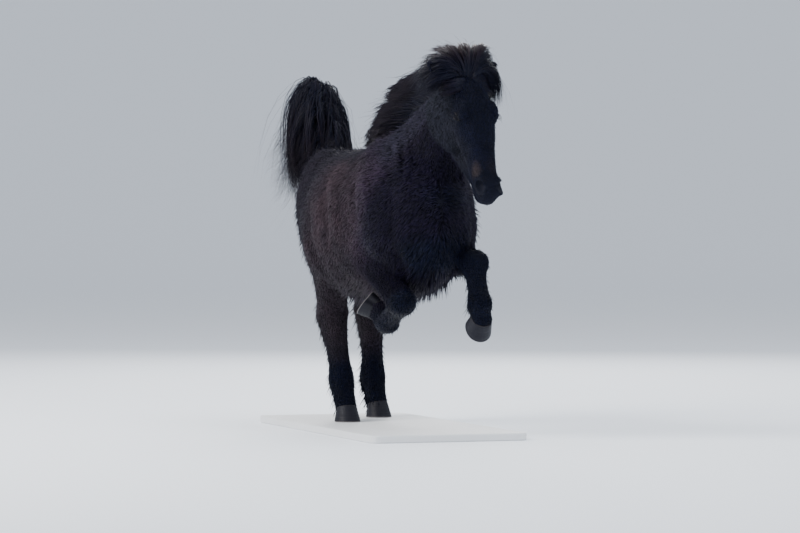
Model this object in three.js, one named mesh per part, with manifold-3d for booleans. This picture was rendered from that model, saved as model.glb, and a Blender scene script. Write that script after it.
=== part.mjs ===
// A life-size still model of an Icelandic horse in a right-lead gallop, on a plain base.
// Both hind feet stand on the base, the left foreleg reaches out and the right one is folded.
// Millimetres, +Z up. The horse faces -Y and its left side is +X. The origin is the centre of the base's underside.
import * as THREE from "three";
import { mergeVertices } from "three/addons/utils/BufferGeometryUtils.js";
import Module from "manifold-3d";

const wasm = await Module();
wasm.setup();

// Driving sizes of the base and of the gaps between pieces.
const gap = 0.32;
const base = { length: 1640, width: 700, thickness: 32, corner: 30, bevel: 4, centreForward: -215 };
const hoofTop = 78;
const nearlyTouching = 1.2;

// A point of the horse: distance forward of the withers, height above the ground and distance to its left.
const at = (forward, up, left = 0) =>
  new THREE.Vector3(left, base.centreForward - forward, up + base.thickness + gap);
// A direction of the horse, with the same three parts.
const towards = (forward, up, left = 0) => new THREE.Vector3(left, -forward, up).normalize();
const leftward = towards(0, 0, 1);

// The head's own frame: "down" runs from the poll to the lips, "face" points out of the forehead.
const headTilt = THREE.MathUtils.degToRad(22);
const headTurn = THREE.MathUtils.degToRad(11);
const poll = { forward: 572, up: 1502, left: 90 };
const head = {
  origin: at(poll.forward, poll.up, poll.left),
  down: towards(Math.sin(headTilt) * Math.cos(headTurn), -Math.cos(headTilt), Math.sin(headTilt) * Math.sin(headTurn)),
  face: towards(Math.cos(headTilt) * Math.cos(headTurn), Math.sin(headTilt), Math.cos(headTilt) * Math.sin(headTurn)),
  side: towards(-Math.sin(headTurn), 0, Math.cos(headTurn)),
};
const headPoint = (down, face, side = 0) =>
  head.origin.clone().addScaledVector(head.down, down).addScaledVector(head.face, face).addScaledVector(head.side, side);

// Distance functions.
// A body part is a sweep: stations along it, each with its place and its half-sizes to the side, to the
// front or crest, and to the back. Sub-steps between stations follow a Catmull-Rom curve.
const subSteps = 3;

function catmullRom(a, b, c, d, t) {
  return 0.5 * (2 * b + (c - a) * t + (2 * a - 5 * b + 4 * c - d) * t * t + (3 * b - a - 3 * c + d) * t * t * t);
}

function sweep(stations, { side = leftward, power = 2.2, place = at } = {}) {
  const rows = Object.values(stations).map(([p, q, r, half, front, back]) => {
    const centre = place(p, q, r);
    return [centre.x, centre.y, centre.z, half, front, back];
  });
  const fine = [];
  for (let i = 0; i < rows.length - 1; i++) {
    const [a, b, c, d] = [rows[Math.max(i - 1, 0)], rows[i], rows[i + 1], rows[Math.min(i + 2, rows.length - 1)]];
    for (let k = 0; k < subSteps; k++) fine.push(b.map((_, j) => catmullRom(a[j], b[j], c[j], d[j], k / subSteps)));
  }
  fine.push(rows[rows.length - 1]);
  const pieces = [];
  for (let i = 0; i < fine.length - 1; i++) {
    const start = new THREE.Vector3(...fine[i]);
    const end = new THREE.Vector3(...fine[i + 1]);
    const along = end.clone().sub(start);
    const length = along.length();
    along.divideScalar(length);
    const across = side.clone().addScaledVector(along, -side.dot(along)).normalize();
    const frontward = along.clone().cross(across);
    const widest = Math.max(...fine[i].slice(3), ...fine[i + 1].slice(3));
    const middle = start.clone().add(end).multiplyScalar(0.5);
    pieces.push({ start, along, length, across, frontward, a: fine[i], b: fine[i + 1], power, middle, reach: length / 2 + widest * 1.1 });
  }
  return pieces;
}

// Signed distance, roughly, from a point to one piece of a sweep.
function pieceDistance(p, piece) {
  const { start, along, across, frontward, length, a, b, power } = piece;
  const [px, py, pz] = [p.x - start.x, p.y - start.y, p.z - start.z];
  const run = px * along.x + py * along.y + pz * along.z;
  const t = Math.min(Math.max(run / length, 0), 1);
  const z = run - t * length;
  const x = px * across.x + py * across.y + pz * across.z;
  const y = px * frontward.x + py * frontward.y + pz * frontward.z;
  const half = a[3] + (b[3] - a[3]) * t;
  const depth = y > 0 ? a[4] + (b[4] - a[4]) * t : a[5] + (b[5] - a[5]) * t;
  const flat = (Math.abs(x / half) ** power + Math.abs(y / depth) ** power) ** (1 / power);
  const ratio = Math.hypot(flat, z / Math.min(half, depth)) + 1e-6;
  return Math.hypot(x, y, z) * (1 - 1 / ratio) - (ratio < 1e-3 ? half * 0.5 : 0);
}

function distanceTo(pieces) {
  return (p) => {
    let best = 1e6;
    for (const piece of pieces) {
      const bound = p.distanceTo(piece.middle) - piece.reach;
      if (bound < best) best = Math.min(best, pieceDistance(p, piece));
    }
    return best;
  };
}

// A rounded mass with three half-sizes along its own axes.
function mass(centre, [halfA, halfB, halfC], axisA, axisB) {
  const a = axisA.clone().normalize();
  const b = axisB.clone().addScaledVector(a, -axisB.dot(a)).normalize();
  const c = a.clone().cross(b);
  return (p) => {
    const q = p.clone().sub(centre);
    const [x, y, z] = [q.dot(a), q.dot(b), q.dot(c)];
    const ratio = Math.hypot(x / halfA, y / halfB, z / halfC) + 1e-6;
    return Math.max(Math.hypot(x, y, z), 1e-3) * (1 - 1 / ratio);
  };
}

// Two distances joined with a soft fillet of the given size.
const soft = (a, b, size) => {
  const h = Math.max(size - Math.abs(a - b), 0) / size;
  return Math.min(a, b) - (h * h * size) / 4;
};
const blend = (size, ...shapes) => (p) => shapes.reduce((d, shape) => soft(d, shape(p), size), 1e6);
const hollow = (shape, cutter, size) => (p) => -soft(-shape(p), cutter(p), size);
// A shape with everything beyond a plane left out.
const limited = (shape, { point, direction }, beyondBy) => {
  const reach = point.dot(direction) + beyondBy;
  return (p) => Math.max(shape(p), p.dot(direction) - reach);
};
const reversed = ({ point, direction }) => ({ point, direction: direction.clone().negate() });

// Trunk: place forward, up, left, then half-width, height to the topline and depth to the belly.
const trunk = distanceTo(sweep({
  buttock: [-990, 1005, 0, 74, 74, 110],
  tailRoot: [-940, 1005, 0, 142, 128, 190],
  pinBones: [-860, 990, 0, 180, 193, 250],
  hip: [-745, 960, 0, 216, 252, 258],
  loin: [-600, 930, 0, 254, 283, 308],
  lastRib: [-450, 905, 0, 290, 298, 350],
  barrel: [-300, 900, 0, 304, 300, 350],
  girth: [-150, 905, 0, 292, 318, 345],
  withers: [0, 925, 0, 255, 340, 350],
  shoulder: [130, 930, 0, 230, 330, 345],
  chest: [250, 930, 0, 212, 262, 310],
  breast: [325, 925, 0, 170, 195, 235],
  breastEnd: [372, 922, 0, 84, 96, 125],
}, { power: 2.3 }));

// Neck: half-width, height to the crest, depth to the throat.
const neckShape = distanceTo(sweep({
  root: [120, 1050, 0, 165, 215, 225],
  base: [215, 1135, 8, 134, 200, 205],
  low: [320, 1225, 22, 108, 180, 176],
  middle: [410, 1300, 40, 92, 163, 152],
  throat: [490, 1368, 58, 82, 140, 132],
  nape: [545, 1410, 72, 72, 105, 110],
}, { power: 2.1 }));

// Masses of the shoulders, breast muscles and haunches on both sides.
const mirrored = (make) => [1, -1].map(make);
const bulk = [
  ...mirrored((s) => mass(at(130, 985, s * 168), [250, 120, 72], towards(-0.45, 0.89, -s * 0.12), towards(1, 0.5, 0))),
  ...mirrored((s) => mass(at(250, 860, s * 118), [110, 120, 88], towards(0.2, 1, 0), towards(1, 0, 0))),
  ...mirrored((s) => mass(at(60, 790, s * 158), [105, 110, 78], towards(0.7, 0.7, 0), towards(1, -0.7, 0))),
  ...mirrored((s) => mass(at(-790, 985, s * 108), [225, 200, 98], towards(0.25, 1, 0), towards(1, -0.25, 0))),
];

// Hind legs. Each joint is a place; the shape between joints is the same on both sides.
const hind = {
  left: {
    hip: [-790, 1000, 112], stifle: [-632, 712, 178], hock: [-866, 505, 138], fetlock: [-802, 186, 128],
    hoof: { centre: at(-722, 0, 127), toe: towards(1, 0, 0.06), sole: towards(0, -1, 0) },
  },
  right: {
    hip: [-780, 1005, -112], stifle: [-525, 778, -165], hock: [-646, 487, -117], fetlock: [-503, 192, -121],
    hoof: { centre: at(-418, 0, -122), toe: towards(1, 0, -0.06), sole: towards(0, -1, 0) },
  },
};
const fore = {
  left: {
    elbow: [72, 766, 169], knee: [440, 716, 166], fetlock: [570, 547, 143],
    hoof: { centre: at(508, 437, 156), toe: towards(0.5, -0.87, 0.02), sole: towards(-0.87, -0.5, 0) },
  },
  right: {
    elbow: [5, 775, -156], knee: [325, 548, -120], fetlock: [118, 456, -116],
    hoof: { centre: at(2, 541, -180), toe: towards(-0.905, -0.398, 0.148), sole: towards(-0.38, 0.6, -0.7) },
  },
};

const between = (a, b, t) => a.map((v, i) => v + (b[i] - v) * t);
// The centre of the hoof's coronet, from the sole's centre, as forward, up and left.
const unplace = (v) => [base.centreForward - v.y, v.z - base.thickness - gap, v.x];
const hoofSize = { toe: 66, heel: 56, half: 58, topToe: 46, topHeel: 44, topHalf: 45, height: 62, setBack: 17, slope: 0.3 };
const coronet = ({ centre, toe, sole }) =>
  centre.clone().addScaledVector(sole, -hoofSize.height).addScaledVector(toe, -hoofSize.setBack);

// Upper leg rows are shares of the way between joints, each with half-width, front and back.
function thigh({ hip, stifle }) {
  return sweep({
    hip: [...hip, 98, 150, 190],
    middle: [...between(hip, stifle, 0.5), 104, 150, 195],
    stifle: [...stifle, 88, 92, 150],
  });
}

function gaskin({ stifle, hock }) {
  const row = (t, ...sizes) => [...between(stifle, hock, t), ...sizes];
  return sweep({ top: row(0, 92, 98, 122), upper: row(0.3, 88, 96, 102), middle: row(0.6, 78, 76, 78), low: row(0.85, 69, 62, 70), hock: row(1, 65, 59, 69) });
}

function lowerHind({ hock, fetlock, hoof }) {
  const row = (t, ...sizes) => [...between(hock, fetlock, t), ...sizes];
  const end = unplace(coronet(hoof));
  return sweep({
    point: row(-0.07, 46, 44, 56), hock: row(0.02, 65, 57, 71), below: row(0.22, 58, 52, 67), cannon: row(0.45, 50, 46, 58), low: row(0.75, 47, 44, 51),
    fetlock: row(1, 55, 50, 59), pastern: [...between(fetlock, end, 0.55), 46, 42, 50], coronet: [...end, 46, 46, 44],
    within: [...between(fetlock, end, 1.3), 38, 38, 38],
  });
}

function forearm({ elbow, knee }) {
  const row = (t, ...sizes) => [...between(elbow, knee, t), ...sizes];
  return sweep({ top: row(-0.06, 84, 94, 104), upper: row(0.2, 80, 84, 96), middle: row(0.5, 69, 66, 76), low: row(0.8, 59, 52, 57), knee: row(1, 60, 52, 52) });
}

function lowerFore({ knee, fetlock, hoof }) {
  const row = (t, ...sizes) => [...between(knee, fetlock, t), ...sizes];
  const end = unplace(coronet(hoof));
  return sweep({
    knee: row(-0.05, 50, 44, 44), below: row(0.14, 50, 46, 50), cannon: row(0.42, 42, 40, 46), low: row(0.74, 42, 40, 46),
    fetlock: row(1, 52, 47, 54), pastern: [...between(fetlock, end, 0.55), 44, 40, 45], coronet: [...end, 46, 44, 42],
    within: [...between(fetlock, end, 1.35), 38, 38, 36],
  });
}

// Head: down from the poll, out to the face and to the side, then half-width, depth to the face and to the jaw.
const inHead = { side: head.side, power: 2.3, place: headPoint };
const skull = distanceTo(sweep({
  poll: [-8, -72, 0, 52, 66, 62],
  ears: [50, -62, 0, 78, 90, 80],
  brow: [120, -52, 0, 92, 96, 85],
  eyes: [185, -46, 0, 92, 92, 84],
  cheekbone: [250, -42, 0, 83, 80, 72],
  nose: [320, -42, 0, 69, 67, 56],
  bridge: [390, -44, 0, 59, 58, 46],
  noseEnd: [450, -44, 0, 56, 51, 40],
  nostrils: [494, -46, 0, 57, 47, 36],
  upperLip: [524, -52, 0, 48, 37, 28],
  lipEnd: [541, -58, 0, 34, 20, 16],
}, inHead));
const jaw = distanceTo(sweep({
  angle: [105, -150, 0, 50, 55, 66],
  cheek: [180, -160, 0, 62, 62, 84],
  lowCheek: [245, -150, 0, 60, 58, 78],
  bars: [315, -122, 0, 46, 45, 62],
  middle: [385, -102, 0, 38, 36, 44],
  chinGroove: [445, -91, 0, 35, 30, 30],
  chin: [488, -89, 0, 37, 25, 28],
  lowerLip: [517, -84, 0, 35, 14, 24],
  lipTip: [531, -80, 0, 23, 8, 14],
}, inHead));
const eyeCentre = { down: 178, face: -10, side: 73 };
const headMasses = [
  ...mirrored((s) => mass(headPoint(190, -112, s * 60), [98, 82, 34], head.down, head.face)),
  ...mirrored((s) => mass(headPoint(160, 6, s * 75), [44, 34, 24], head.down, head.face)),
  ...mirrored((s) => mass(headPoint(262, -40, s * 68), [78, 15, 14], towards(0.3, -1, 0), head.face)),
  ...mirrored((s) => mass(headPoint(488, -26, s * 40), [42, 27, 22], head.down, head.face)),
];
const orbits = mirrored((s) => mass(headPoint(eyeCentre.down, eyeCentre.face, s * eyeCentre.side), [29, 27, 26], head.down, head.face));
const headShape = blend(14, blend(26, skull, jaw, ...headMasses), ...orbits);

const hindUpper = { left: distanceTo(thigh(hind.left)), right: distanceTo(thigh(hind.right)) };
const hindGaskin = { left: distanceTo(gaskin(hind.left)), right: distanceTo(gaskin(hind.right)) };
const torsoShape = blend(80, trunk, ...bulk, hindUpper.left, hindUpper.right);
const neckAndTorso = blend(110, torsoShape, neckShape);

// A net over a distance function: one vertex in each cell that its surface crosses, moved onto the surface.
function steps(low, high, size) {
  const count = Math.ceil((high - low) / size);
  return Array.from({ length: count + 1 }, (_, i) => low + ((high - low) * i) / count);
}

const world = { origin: new THREE.Vector3(), axes: [new THREE.Vector3(1, 0, 0), new THREE.Vector3(0, 1, 0), new THREE.Vector3(0, 0, 1)] };

function slope(shape, p, h = 1.5) {
  const q = p.clone();
  const parts = ["x", "y", "z"].map((axis) => {
    q[axis] = p[axis] + h;
    const ahead = shape(q);
    q[axis] = p[axis] - h;
    const behind = shape(q);
    q[axis] = p[axis];
    return (ahead - behind) / (2 * h);
  });
  return new THREE.Vector3(...parts);
}

function ontoSurface(shape, p, most) {
  for (let i = 0; i < 5; i++) {
    const grade = slope(shape, p);
    const size = Math.max(grade.lengthSq(), 0.2);
    const move = shape(p) / size;
    p.addScaledVector(grade, -Math.max(Math.min(move, most), -most));
  }
  return p;
}

// The shape with everything near the border of its grid left out, so that every net is closed.
function boxed(shape, grid, frame) {
  const sides = grid.map((cuts, i) => {
    const half = (cuts[cuts.length - 1] - cuts[0]) / 2;
    return { axis: frame.axes[i], middle: cuts[0] + half + frame.axes[i].dot(frame.origin), half: half - 0.6 * (cuts[1] - cuts[0]) };
  });
  return (p) => sides.reduce((d, { axis, middle, half }) => Math.max(d, Math.abs(p.dot(axis) - middle) - half), shape(p));
}

// A net can touch itself along an edge where the shape is thin; its grid is then nudged until it doesn't.
function net(shape, grid, { frame = world, finish = (whole) => whole } = {}) {
  for (const nudge of [0, 0.21, 0.43, 0.67, 0.85]) {
    const nudged = grid.map((cuts) => cuts.map((cut) => cut + nudge * (cuts[1] - cuts[0])));
    const whole = netOnce(shape, nudged, frame);
    const made = largestBody(finish(whole));
    if (!touchesItself(made)) return Object.assign(made, { whole });
  }
  throw new Error("a net touches itself");
}

// A net pushed out along its normals, to cut its neighbours back to a gap.
function grown(manifold, distance = gap * 1.3) {
  const geometry = geometryOf(manifold);
  const { position, normal } = geometry.attributes;
  for (let i = 0; i < position.count; i++)
    position.setXYZ(i, ...["x", "y", "z"].map((_, k) => position.array[3 * i + k] + normal.array[3 * i + k] * distance));
  return solid(geometry);
}

function touchesItself(manifold) {
  const { numProp, numTri, vertProperties, triVerts } = manifold.getMesh();
  const name = (v) => [0, 1, 2].map((i) => vertProperties[v * numProp + i].toFixed(3)).join(" ");
  const edges = new Set();
  let count = 0;
  for (let t = 0; t < numTri; t++) {
    const [a, b, c] = [0, 1, 2].map((i) => name(triVerts[3 * t + i]));
    if (a === b || b === c || c === a) continue;
    count += 3;
    for (const edge of [a + b, b + c, c + a]) edges.add(edge);
  }
  return edges.size < count;
}

function netOnce(openShape, [xs, ys, zs], frame) {
  const shape = boxed(openShape, [xs, ys, zs], frame);
  const [nx, ny, nz] = [xs.length, ys.length, zs.length];
  const index = (i, j, k) => (i * ny + j) * nz + k;
  const corner = (x, y, z) =>
    frame.origin.clone().addScaledVector(frame.axes[0], x).addScaledVector(frame.axes[1], y).addScaledVector(frame.axes[2], z);
  const value = new Float64Array(nx * ny * nz);
  for (let i = 0; i < nx; i++)
    for (let j = 0; j < ny; j++)
      for (let k = 0; k < nz; k++) value[index(i, j, k)] = shape(corner(xs[i], ys[j], zs[k]));
  const cellVertex = new Map();
  const positions = [];
  const cellEdges = [];
  for (const [a, b, c] of [[0, 0, 0], [0, 0, 1], [0, 1, 0], [0, 1, 1], [1, 0, 0], [1, 0, 1], [1, 1, 0], [1, 1, 1]]) {
    if (!a) cellEdges.push([[a, b, c], [1, b, c]]);
    if (!b) cellEdges.push([[a, b, c], [a, 1, c]]);
    if (!c) cellEdges.push([[a, b, c], [a, b, 1]]);
  }
  const largest = Math.max(xs[1] - xs[0], ys[1] - ys[0], zs[1] - zs[0]);
  for (let i = 0; i < nx - 1; i++)
    for (let j = 0; j < ny - 1; j++)
      for (let k = 0; k < nz - 1; k++) {
        const sum = new THREE.Vector3();
        let count = 0;
        for (const [[a, b, c], [d, e, f]] of cellEdges) {
          const v0 = value[index(i + a, j + b, k + c)];
          const v1 = value[index(i + d, j + e, k + f)];
          if (v0 < 0 === v1 < 0) continue;
          const t = v0 / (v0 - v1);
          sum.x += xs[i + a] + (xs[i + d] - xs[i + a]) * t;
          sum.y += ys[j + b] + (ys[j + e] - ys[j + b]) * t;
          sum.z += zs[k + c] + (zs[k + f] - zs[k + c]) * t;
          count++;
        }
        if (!count) continue;
        const p = ontoSurface(shape, corner(sum.x / count, sum.y / count, sum.z / count), largest / 6);
        cellVertex.set(index(i, j, k), positions.length / 3);
        positions.push(p.x, p.y, p.z);
      }
  const faces = [];
  const quad = (inside, a, b, c, d) => {
    const [p, q, r, s] = [a, b, c, d].map((cell) => cellVertex.get(cell));
    const spot = (v) => new THREE.Vector3(positions[3 * v], positions[3 * v + 1], positions[3 * v + 2]);
    const shortPR = spot(p).distanceTo(spot(r)) <= spot(q).distanceTo(spot(s));
    const tris = shortPR ? [[p, q, r], [p, r, s]] : [[p, q, s], [q, r, s]];
    for (const [u, v, w] of tris) faces.push(...(inside ? [u, v, w] : [u, w, v]));
  };
  for (let i = 0; i < nx - 1; i++)
    for (let j = 0; j < ny - 1; j++)
      for (let k = 0; k < nz - 1; k++) {
        const here = value[index(i, j, k)] < 0;
        if (j && k && value[index(i + 1, j, k)] < 0 !== here)
          quad(here, index(i, j - 1, k - 1), index(i, j, k - 1), index(i, j, k), index(i, j - 1, k));
        if (i && k && value[index(i, j + 1, k)] < 0 !== here)
          quad(here, index(i - 1, j, k - 1), index(i - 1, j, k), index(i, j, k), index(i, j, k - 1));
        if (i && j && value[index(i, j, k + 1)] < 0 !== here)
          quad(here, index(i - 1, j - 1, k), index(i, j - 1, k), index(i, j, k), index(i - 1, j, k));
      }
  return largestBody(new wasm.Manifold(new wasm.Mesh({
    numProp: 3,
    vertProperties: new Float32Array(positions),
    triVerts: new Uint32Array(faces),
  })));
}

// Solids: a three.js geometry as a manifold, cuts, joins and what is left of them.
function solid(geometry) {
  const g = geometry.clone();
  g.deleteAttribute("normal");
  g.deleteAttribute("uv");
  const merged = mergeVertices(g, 1e-3);
  return new wasm.Manifold(new wasm.Mesh({
    numProp: 3,
    vertProperties: new Float32Array(merged.attributes.position.array),
    triVerts: new Uint32Array(merged.index.array),
  }));
}

function largestBody(manifold) {
  const bodies = manifold.decompose();
  return bodies.reduce((best, body) => (body.volume() > best.volume() ? body : best));
}

function geometryOf(manifold) {
  const mesh = manifold.getMesh();
  const stride = mesh.numProp;
  const positions = new Float32Array(mesh.numVert * 3);
  for (let i = 0; i < mesh.numVert; i++) positions.set(mesh.vertProperties.subarray(i * stride, i * stride + 3), i * 3);
  const geometry = new THREE.BufferGeometry();
  geometry.setAttribute("position", new THREE.BufferAttribute(positions, 3));
  geometry.setIndex(new THREE.BufferAttribute(mesh.triVerts, 1));
  geometry.computeVertexNormals();
  return geometry;
}

const mat = (centre, a, b, c) => new THREE.Matrix4().makeBasis(a, b, c).setPosition(centre);
// An ellipsoid as a solid, with its half-sizes along the head's down, face and side.
function headOvoid(place, halves, [round, high] = [16, 10]) {
  const ball = new THREE.SphereGeometry(1, round, high).scale(...halves);
  return solid(ball.applyMatrix4(mat(headPoint(...place), head.down, head.face, head.down.clone().cross(head.face))));
}

// A block that fills the space on the far side of a plane, used to cut.
function beyond(point, direction, size = 3000) {
  const block = new THREE.BoxGeometry(size, size, size);
  block.translate(0, 0, size / 2);
  block.applyQuaternion(new THREE.Quaternion().setFromUnitVectors(new THREE.Vector3(0, 0, 1), direction.clone().normalize()));
  block.translate(point.x, point.y, point.z);
  return solid(block);
}

const boundsOf = (points, margin) => {
  const box = new THREE.Box3().setFromPoints(points).expandByScalar(margin);
  return [box.min, box.max];
};

function gridOver(points, margin, size) {
  const [low, high] = boundsOf(points, margin);
  return [steps(low.x, high.x, size), steps(low.y, high.y, size), steps(low.z, high.z, size)];
}

// Torso: trunk, shoulders, haunches and thighs, cut where the neck begins.
const neckCut = { point: at(232, 1150, 8), direction: towards(0.74, 0.67, 0.05) };
const torsoGrid = [steps(-345, 345, 60), steps(base.centreForward - 540, base.centreForward + 1115, 65), steps(480, 1370, 61)];
const torsoFar = beyond(neckCut.point, neckCut.direction);
const torsoNet = limited(neckAndTorso, neckCut, 60);
const torso = net(torsoNet, torsoGrid, { finish: (whole) => whole.subtract(torsoFar) });
const torsoGrown = grown(torso.whole);

// Neck: from that cut to a cut behind the ears and jaw.
const headCut = { point: at(498, 1370, 60), direction: towards(0.965, 0.12, 0.16) };
const neckStart = neckCut.point.clone().addScaledVector(neckCut.direction, gap);
const neckGrid = gridOver([at(0, 850, -240), at(600, 1560, 250)], 60, 42);
const neckNet = limited(limited(neckAndTorso, reversed(neckCut), 50), headCut, 50);
const neckCore = net(neckNet, neckGrid, {
  finish: (whole) => whole.subtract(beyond(neckStart, neckCut.direction.clone().negate())).subtract(beyond(headCut.point, headCut.direction)),
});

// Head: a finer net in its own frame, joined softly to the top of the neck.
const headStart = headCut.point.clone().addScaledVector(headCut.direction, gap);
const headAndNeck = blend(22, headShape, neckShape);
const headFrame = { origin: head.origin, axes: [head.side, head.face, head.down] };
const headGrid = [steps(-118, 118, 19.5), steps(-262, 62, 22), steps(-62, 585, 21.6)];
const headNet = limited(headAndNeck, reversed(headCut), 24);
const headBehind = beyond(headStart, headCut.direction.clone().negate());

// Sockets with an almond opening between the lids, nostrils and the line of the mouth are cut into the head.
const eye = { down: 178, face: -8, side: 83, radius: 20.5 };
const nostril = { down: 490, face: -10, side: 53, halves: [23, 13, 18] };
const mouthSlit = headOvoid([514, -73, 0], [76, 3.6, 64], [14, 4]).subtract(headOvoid([487, -70, 0], [62, 60, 42], [12, 6]));
function carved(whole) {
  let rest = whole.subtract(mouthSlit);
  for (const s of [1, -1]) {
    const almond = headOvoid([eye.down, eye.face + 10, s * (eye.side + 12)], [24, 17, 23], [12, 6]);
    const ball = headOvoid([eye.down, eye.face, s * eye.side], [1, 1, 1].map((v) => v * (eye.radius + gap)), [12, 7]);
    const nose = headOvoid([nostril.down, nostril.face, s * nostril.side], nostril.halves, [10, 6]);
    rest = rest.subtract(almond).subtract(ball).subtract(nose);
  }
  return rest;
}
const headCore = net(headNet, headGrid, { frame: headFrame, finish: (whole) => carved(whole.subtract(headBehind)) });

// Ears: small cupped leaves, turned out and a little back. A ring is a crescent, open towards the face and side.
const ear = { root: [16, -40, 50], tip: [-80, -22, 170], half: 31, depth: 19, wall: 7 };
function earSolid(s) {
  const root = headPoint(ear.root[0], ear.root[1], s * ear.root[2]);
  const tip = headPoint(ear.tip[0], ear.tip[1], s * ear.tip[2]);
  const along = tip.clone().sub(root);
  const length = along.length();
  along.normalize();
  const open = head.face.clone().multiplyScalar(0.8).addScaledVector(head.down, 0.55);
  open.addScaledVector(along, -open.dot(along)).normalize();
  const across = along.clone().cross(open);
  const rows = [[0, 0.62], [0.14, 0.82], [0.36, 1], [0.6, 0.88], [0.82, 0.52], [0.97, 0.12]];
  const rings = rows.map(([v, size]) => {
    const centre = root.clone().addScaledVector(along, length * v).addScaledVector(open, -6 * Math.sin(Math.PI * v));
    const cup = Math.min(v / 0.2, 1) * (1 - v * 0.35);
    return Array.from({ length: 12 }, (_, i) => {
      const back = i < 7;
      const angle = back ? (Math.PI * i) / 6 : Math.PI - (Math.PI * (i - 6)) / 6;
      const x = Math.cos(angle) * ear.half * size * (back ? 1 : 0.8);
      const y = back ? -Math.sin(angle) * ear.depth * size : -Math.sin(angle) * (ear.depth - ear.wall) * size * cup + 1.5 * size;
      return centre.clone().addScaledVector(across, x).addScaledVector(open, y);
    });
  });
  return solid(ringGeometry(rings));
}
const group = new THREE.Group();
function addNode(name, manifold, colour, roughness) {
  const material = new THREE.MeshStandardMaterial({ color: colour, roughness, metalness: 0 });
  const mesh = new THREE.Mesh(geometryOf(manifold), material);
  mesh.name = name;
  group.add(mesh);
}

const coatColour = 0x2a1f1c;
const hairColour = 0x16110f;
const hornColour = 0x2e2a28;

function hoofSolid({ centre, toe: forwardOfToe, sole }) {
  const side = forwardOfToe.clone().cross(sole).normalize();
  const toe = sole.clone().cross(side).normalize();
  const rounds = 16;
  const levels = [0, 0.12, 0.55, 1];
  const rings = levels.map((v) => {
    const ring = [];
    const taper = v === 0 ? 0.96 : 1 - (v - 0.12) * 0.12;
    for (let i = 0; i < rounds; i++) {
      const angle = (2 * Math.PI * i) / rounds;
      const [c, s] = [Math.cos(angle), Math.sin(angle)];
      const length = c > 0 ? THREE.MathUtils.lerp(hoofSize.toe, hoofSize.topToe, v) : THREE.MathUtils.lerp(hoofSize.heel, hoofSize.topHeel, v);
      const half = THREE.MathUtils.lerp(hoofSize.half, hoofSize.topHalf, v);
      const along = Math.sign(c) * Math.abs(c) ** 0.9 * length * (v === 0 ? taper : 1);
      const lift = v * (hoofSize.height + hoofSize.slope * along);
      ring.push(centre.clone()
        .addScaledVector(toe, along - hoofSize.setBack * v)
        .addScaledVector(side, s * half * (v === 0 ? taper : 1))
        .addScaledVector(sole, -lift));
    }
    return ring;
  });
  return solid(ringGeometry(rings));
}

// A closed skin over a stack of rings with the same number of points, flat or coming to a point at each end.
function ringGeometry(rings) {
  const positions = rings.flat().flatMap((p) => [p.x, p.y, p.z]);
  const n = rings[0].length;
  const faces = [];
  for (let r = 0; r < rings.length - 1; r++)
    for (let i = 0; i < n; i++) {
      const [a, b] = [r * n + i, r * n + ((i + 1) % n)];
      faces.push(a, b, b + n, a, b + n, a + n);
    }
  const cap = (start, flip) => {
    for (let i = 1; i < n - 1; i++) faces.push(start, ...(flip ? [start + i + 1, start + i] : [start + i, start + i + 1]));
  };
  cap(0, true);
  cap((rings.length - 1) * n, false);
  const geometry = new THREE.BufferGeometry();
  geometry.setAttribute("position", new THREE.Float32BufferAttribute(positions, 3));
  geometry.setIndex(faces);
  const volume = signedVolume(geometry);
  if (volume < 0) geometry.setIndex(faces.map((_, i) => faces[i - (i % 3) + [0, 2, 1][i % 3]]));
  return geometry;
}

function signedVolume(geometry) {
  const [a, b, c] = [new THREE.Vector3(), new THREE.Vector3(), new THREE.Vector3()];
  const position = geometry.attributes.position;
  const index = geometry.index.array;
  let sum = 0;
  for (let i = 0; i < index.length; i += 3) {
    a.fromBufferAttribute(position, index[i]);
    b.fromBufferAttribute(position, index[i + 1]);
    c.fromBufferAttribute(position, index[i + 2]);
    sum += a.dot(b.cross(c));
  }
  return sum;
}

const limbCell = 36.5;
for (const sideName of ["left", "right"]) {
  const back = hind[sideName];
  const front = fore[sideName];
  for (const [label, leg, upper, lower, low, high] of [
    ["hindleg", back, hindGaskin[sideName], distanceTo(lowerHind(back)), "stifle", "hock"],
    ["foreleg", front, distanceTo(forearm(front)), distanceTo(lowerFore(front)), "elbow", "knee"],
  ]) {
    const shape = blend(24, upper, lower);
    const top = coronet(leg.hoof);
    const points = [at(...leg[low]), at(...leg[high]), at(...leg.fetlock), top];
    const upSole = leg.hoof.sole.clone().negate();
    const coronetNormal = upSole.clone().addScaledVector(leg.hoof.toe, -hoofSize.slope).normalize();
    const hoofCut = beyond(top.clone().addScaledVector(coronetNormal, gap), coronetNormal.clone().negate(), 160);
    const flesh = net(shape, gridOver(points, 95, limbCell), { finish: (whole) => whole.subtract(torsoGrown).subtract(hoofCut) });
    addNode(`${label}_${sideName}`, flesh, coatColour, 0.85);
    addNode(`hoof_${label === "hindleg" ? "hind" : "fore"}_${sideName}`, hoofSolid(leg.hoof), hornColour, 0.5);
  }
}

const headGrown = grown(headCore.whole);
addNode("torso", torso, coatColour, 0.9);
addNode("neck", neckCore, coatColour, 0.9);
const ears = { left: earSolid(1), right: earSolid(-1) };
addNode("head", headCore, coatColour, 0.85);
for (const [sideName, s] of [["left", 1], ["right", -1]]) {
  addNode(`ear_${sideName}`, largestBody(ears[sideName].subtract(headGrown)), coatColour, 0.9);
  addNode(`eye_${sideName}`, headOvoid([eye.down, eye.face, s * eye.side], [1, 1, 1].map((v) => v * eye.radius), [12, 7]), 0x0b0908, 0.1);
}

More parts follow.
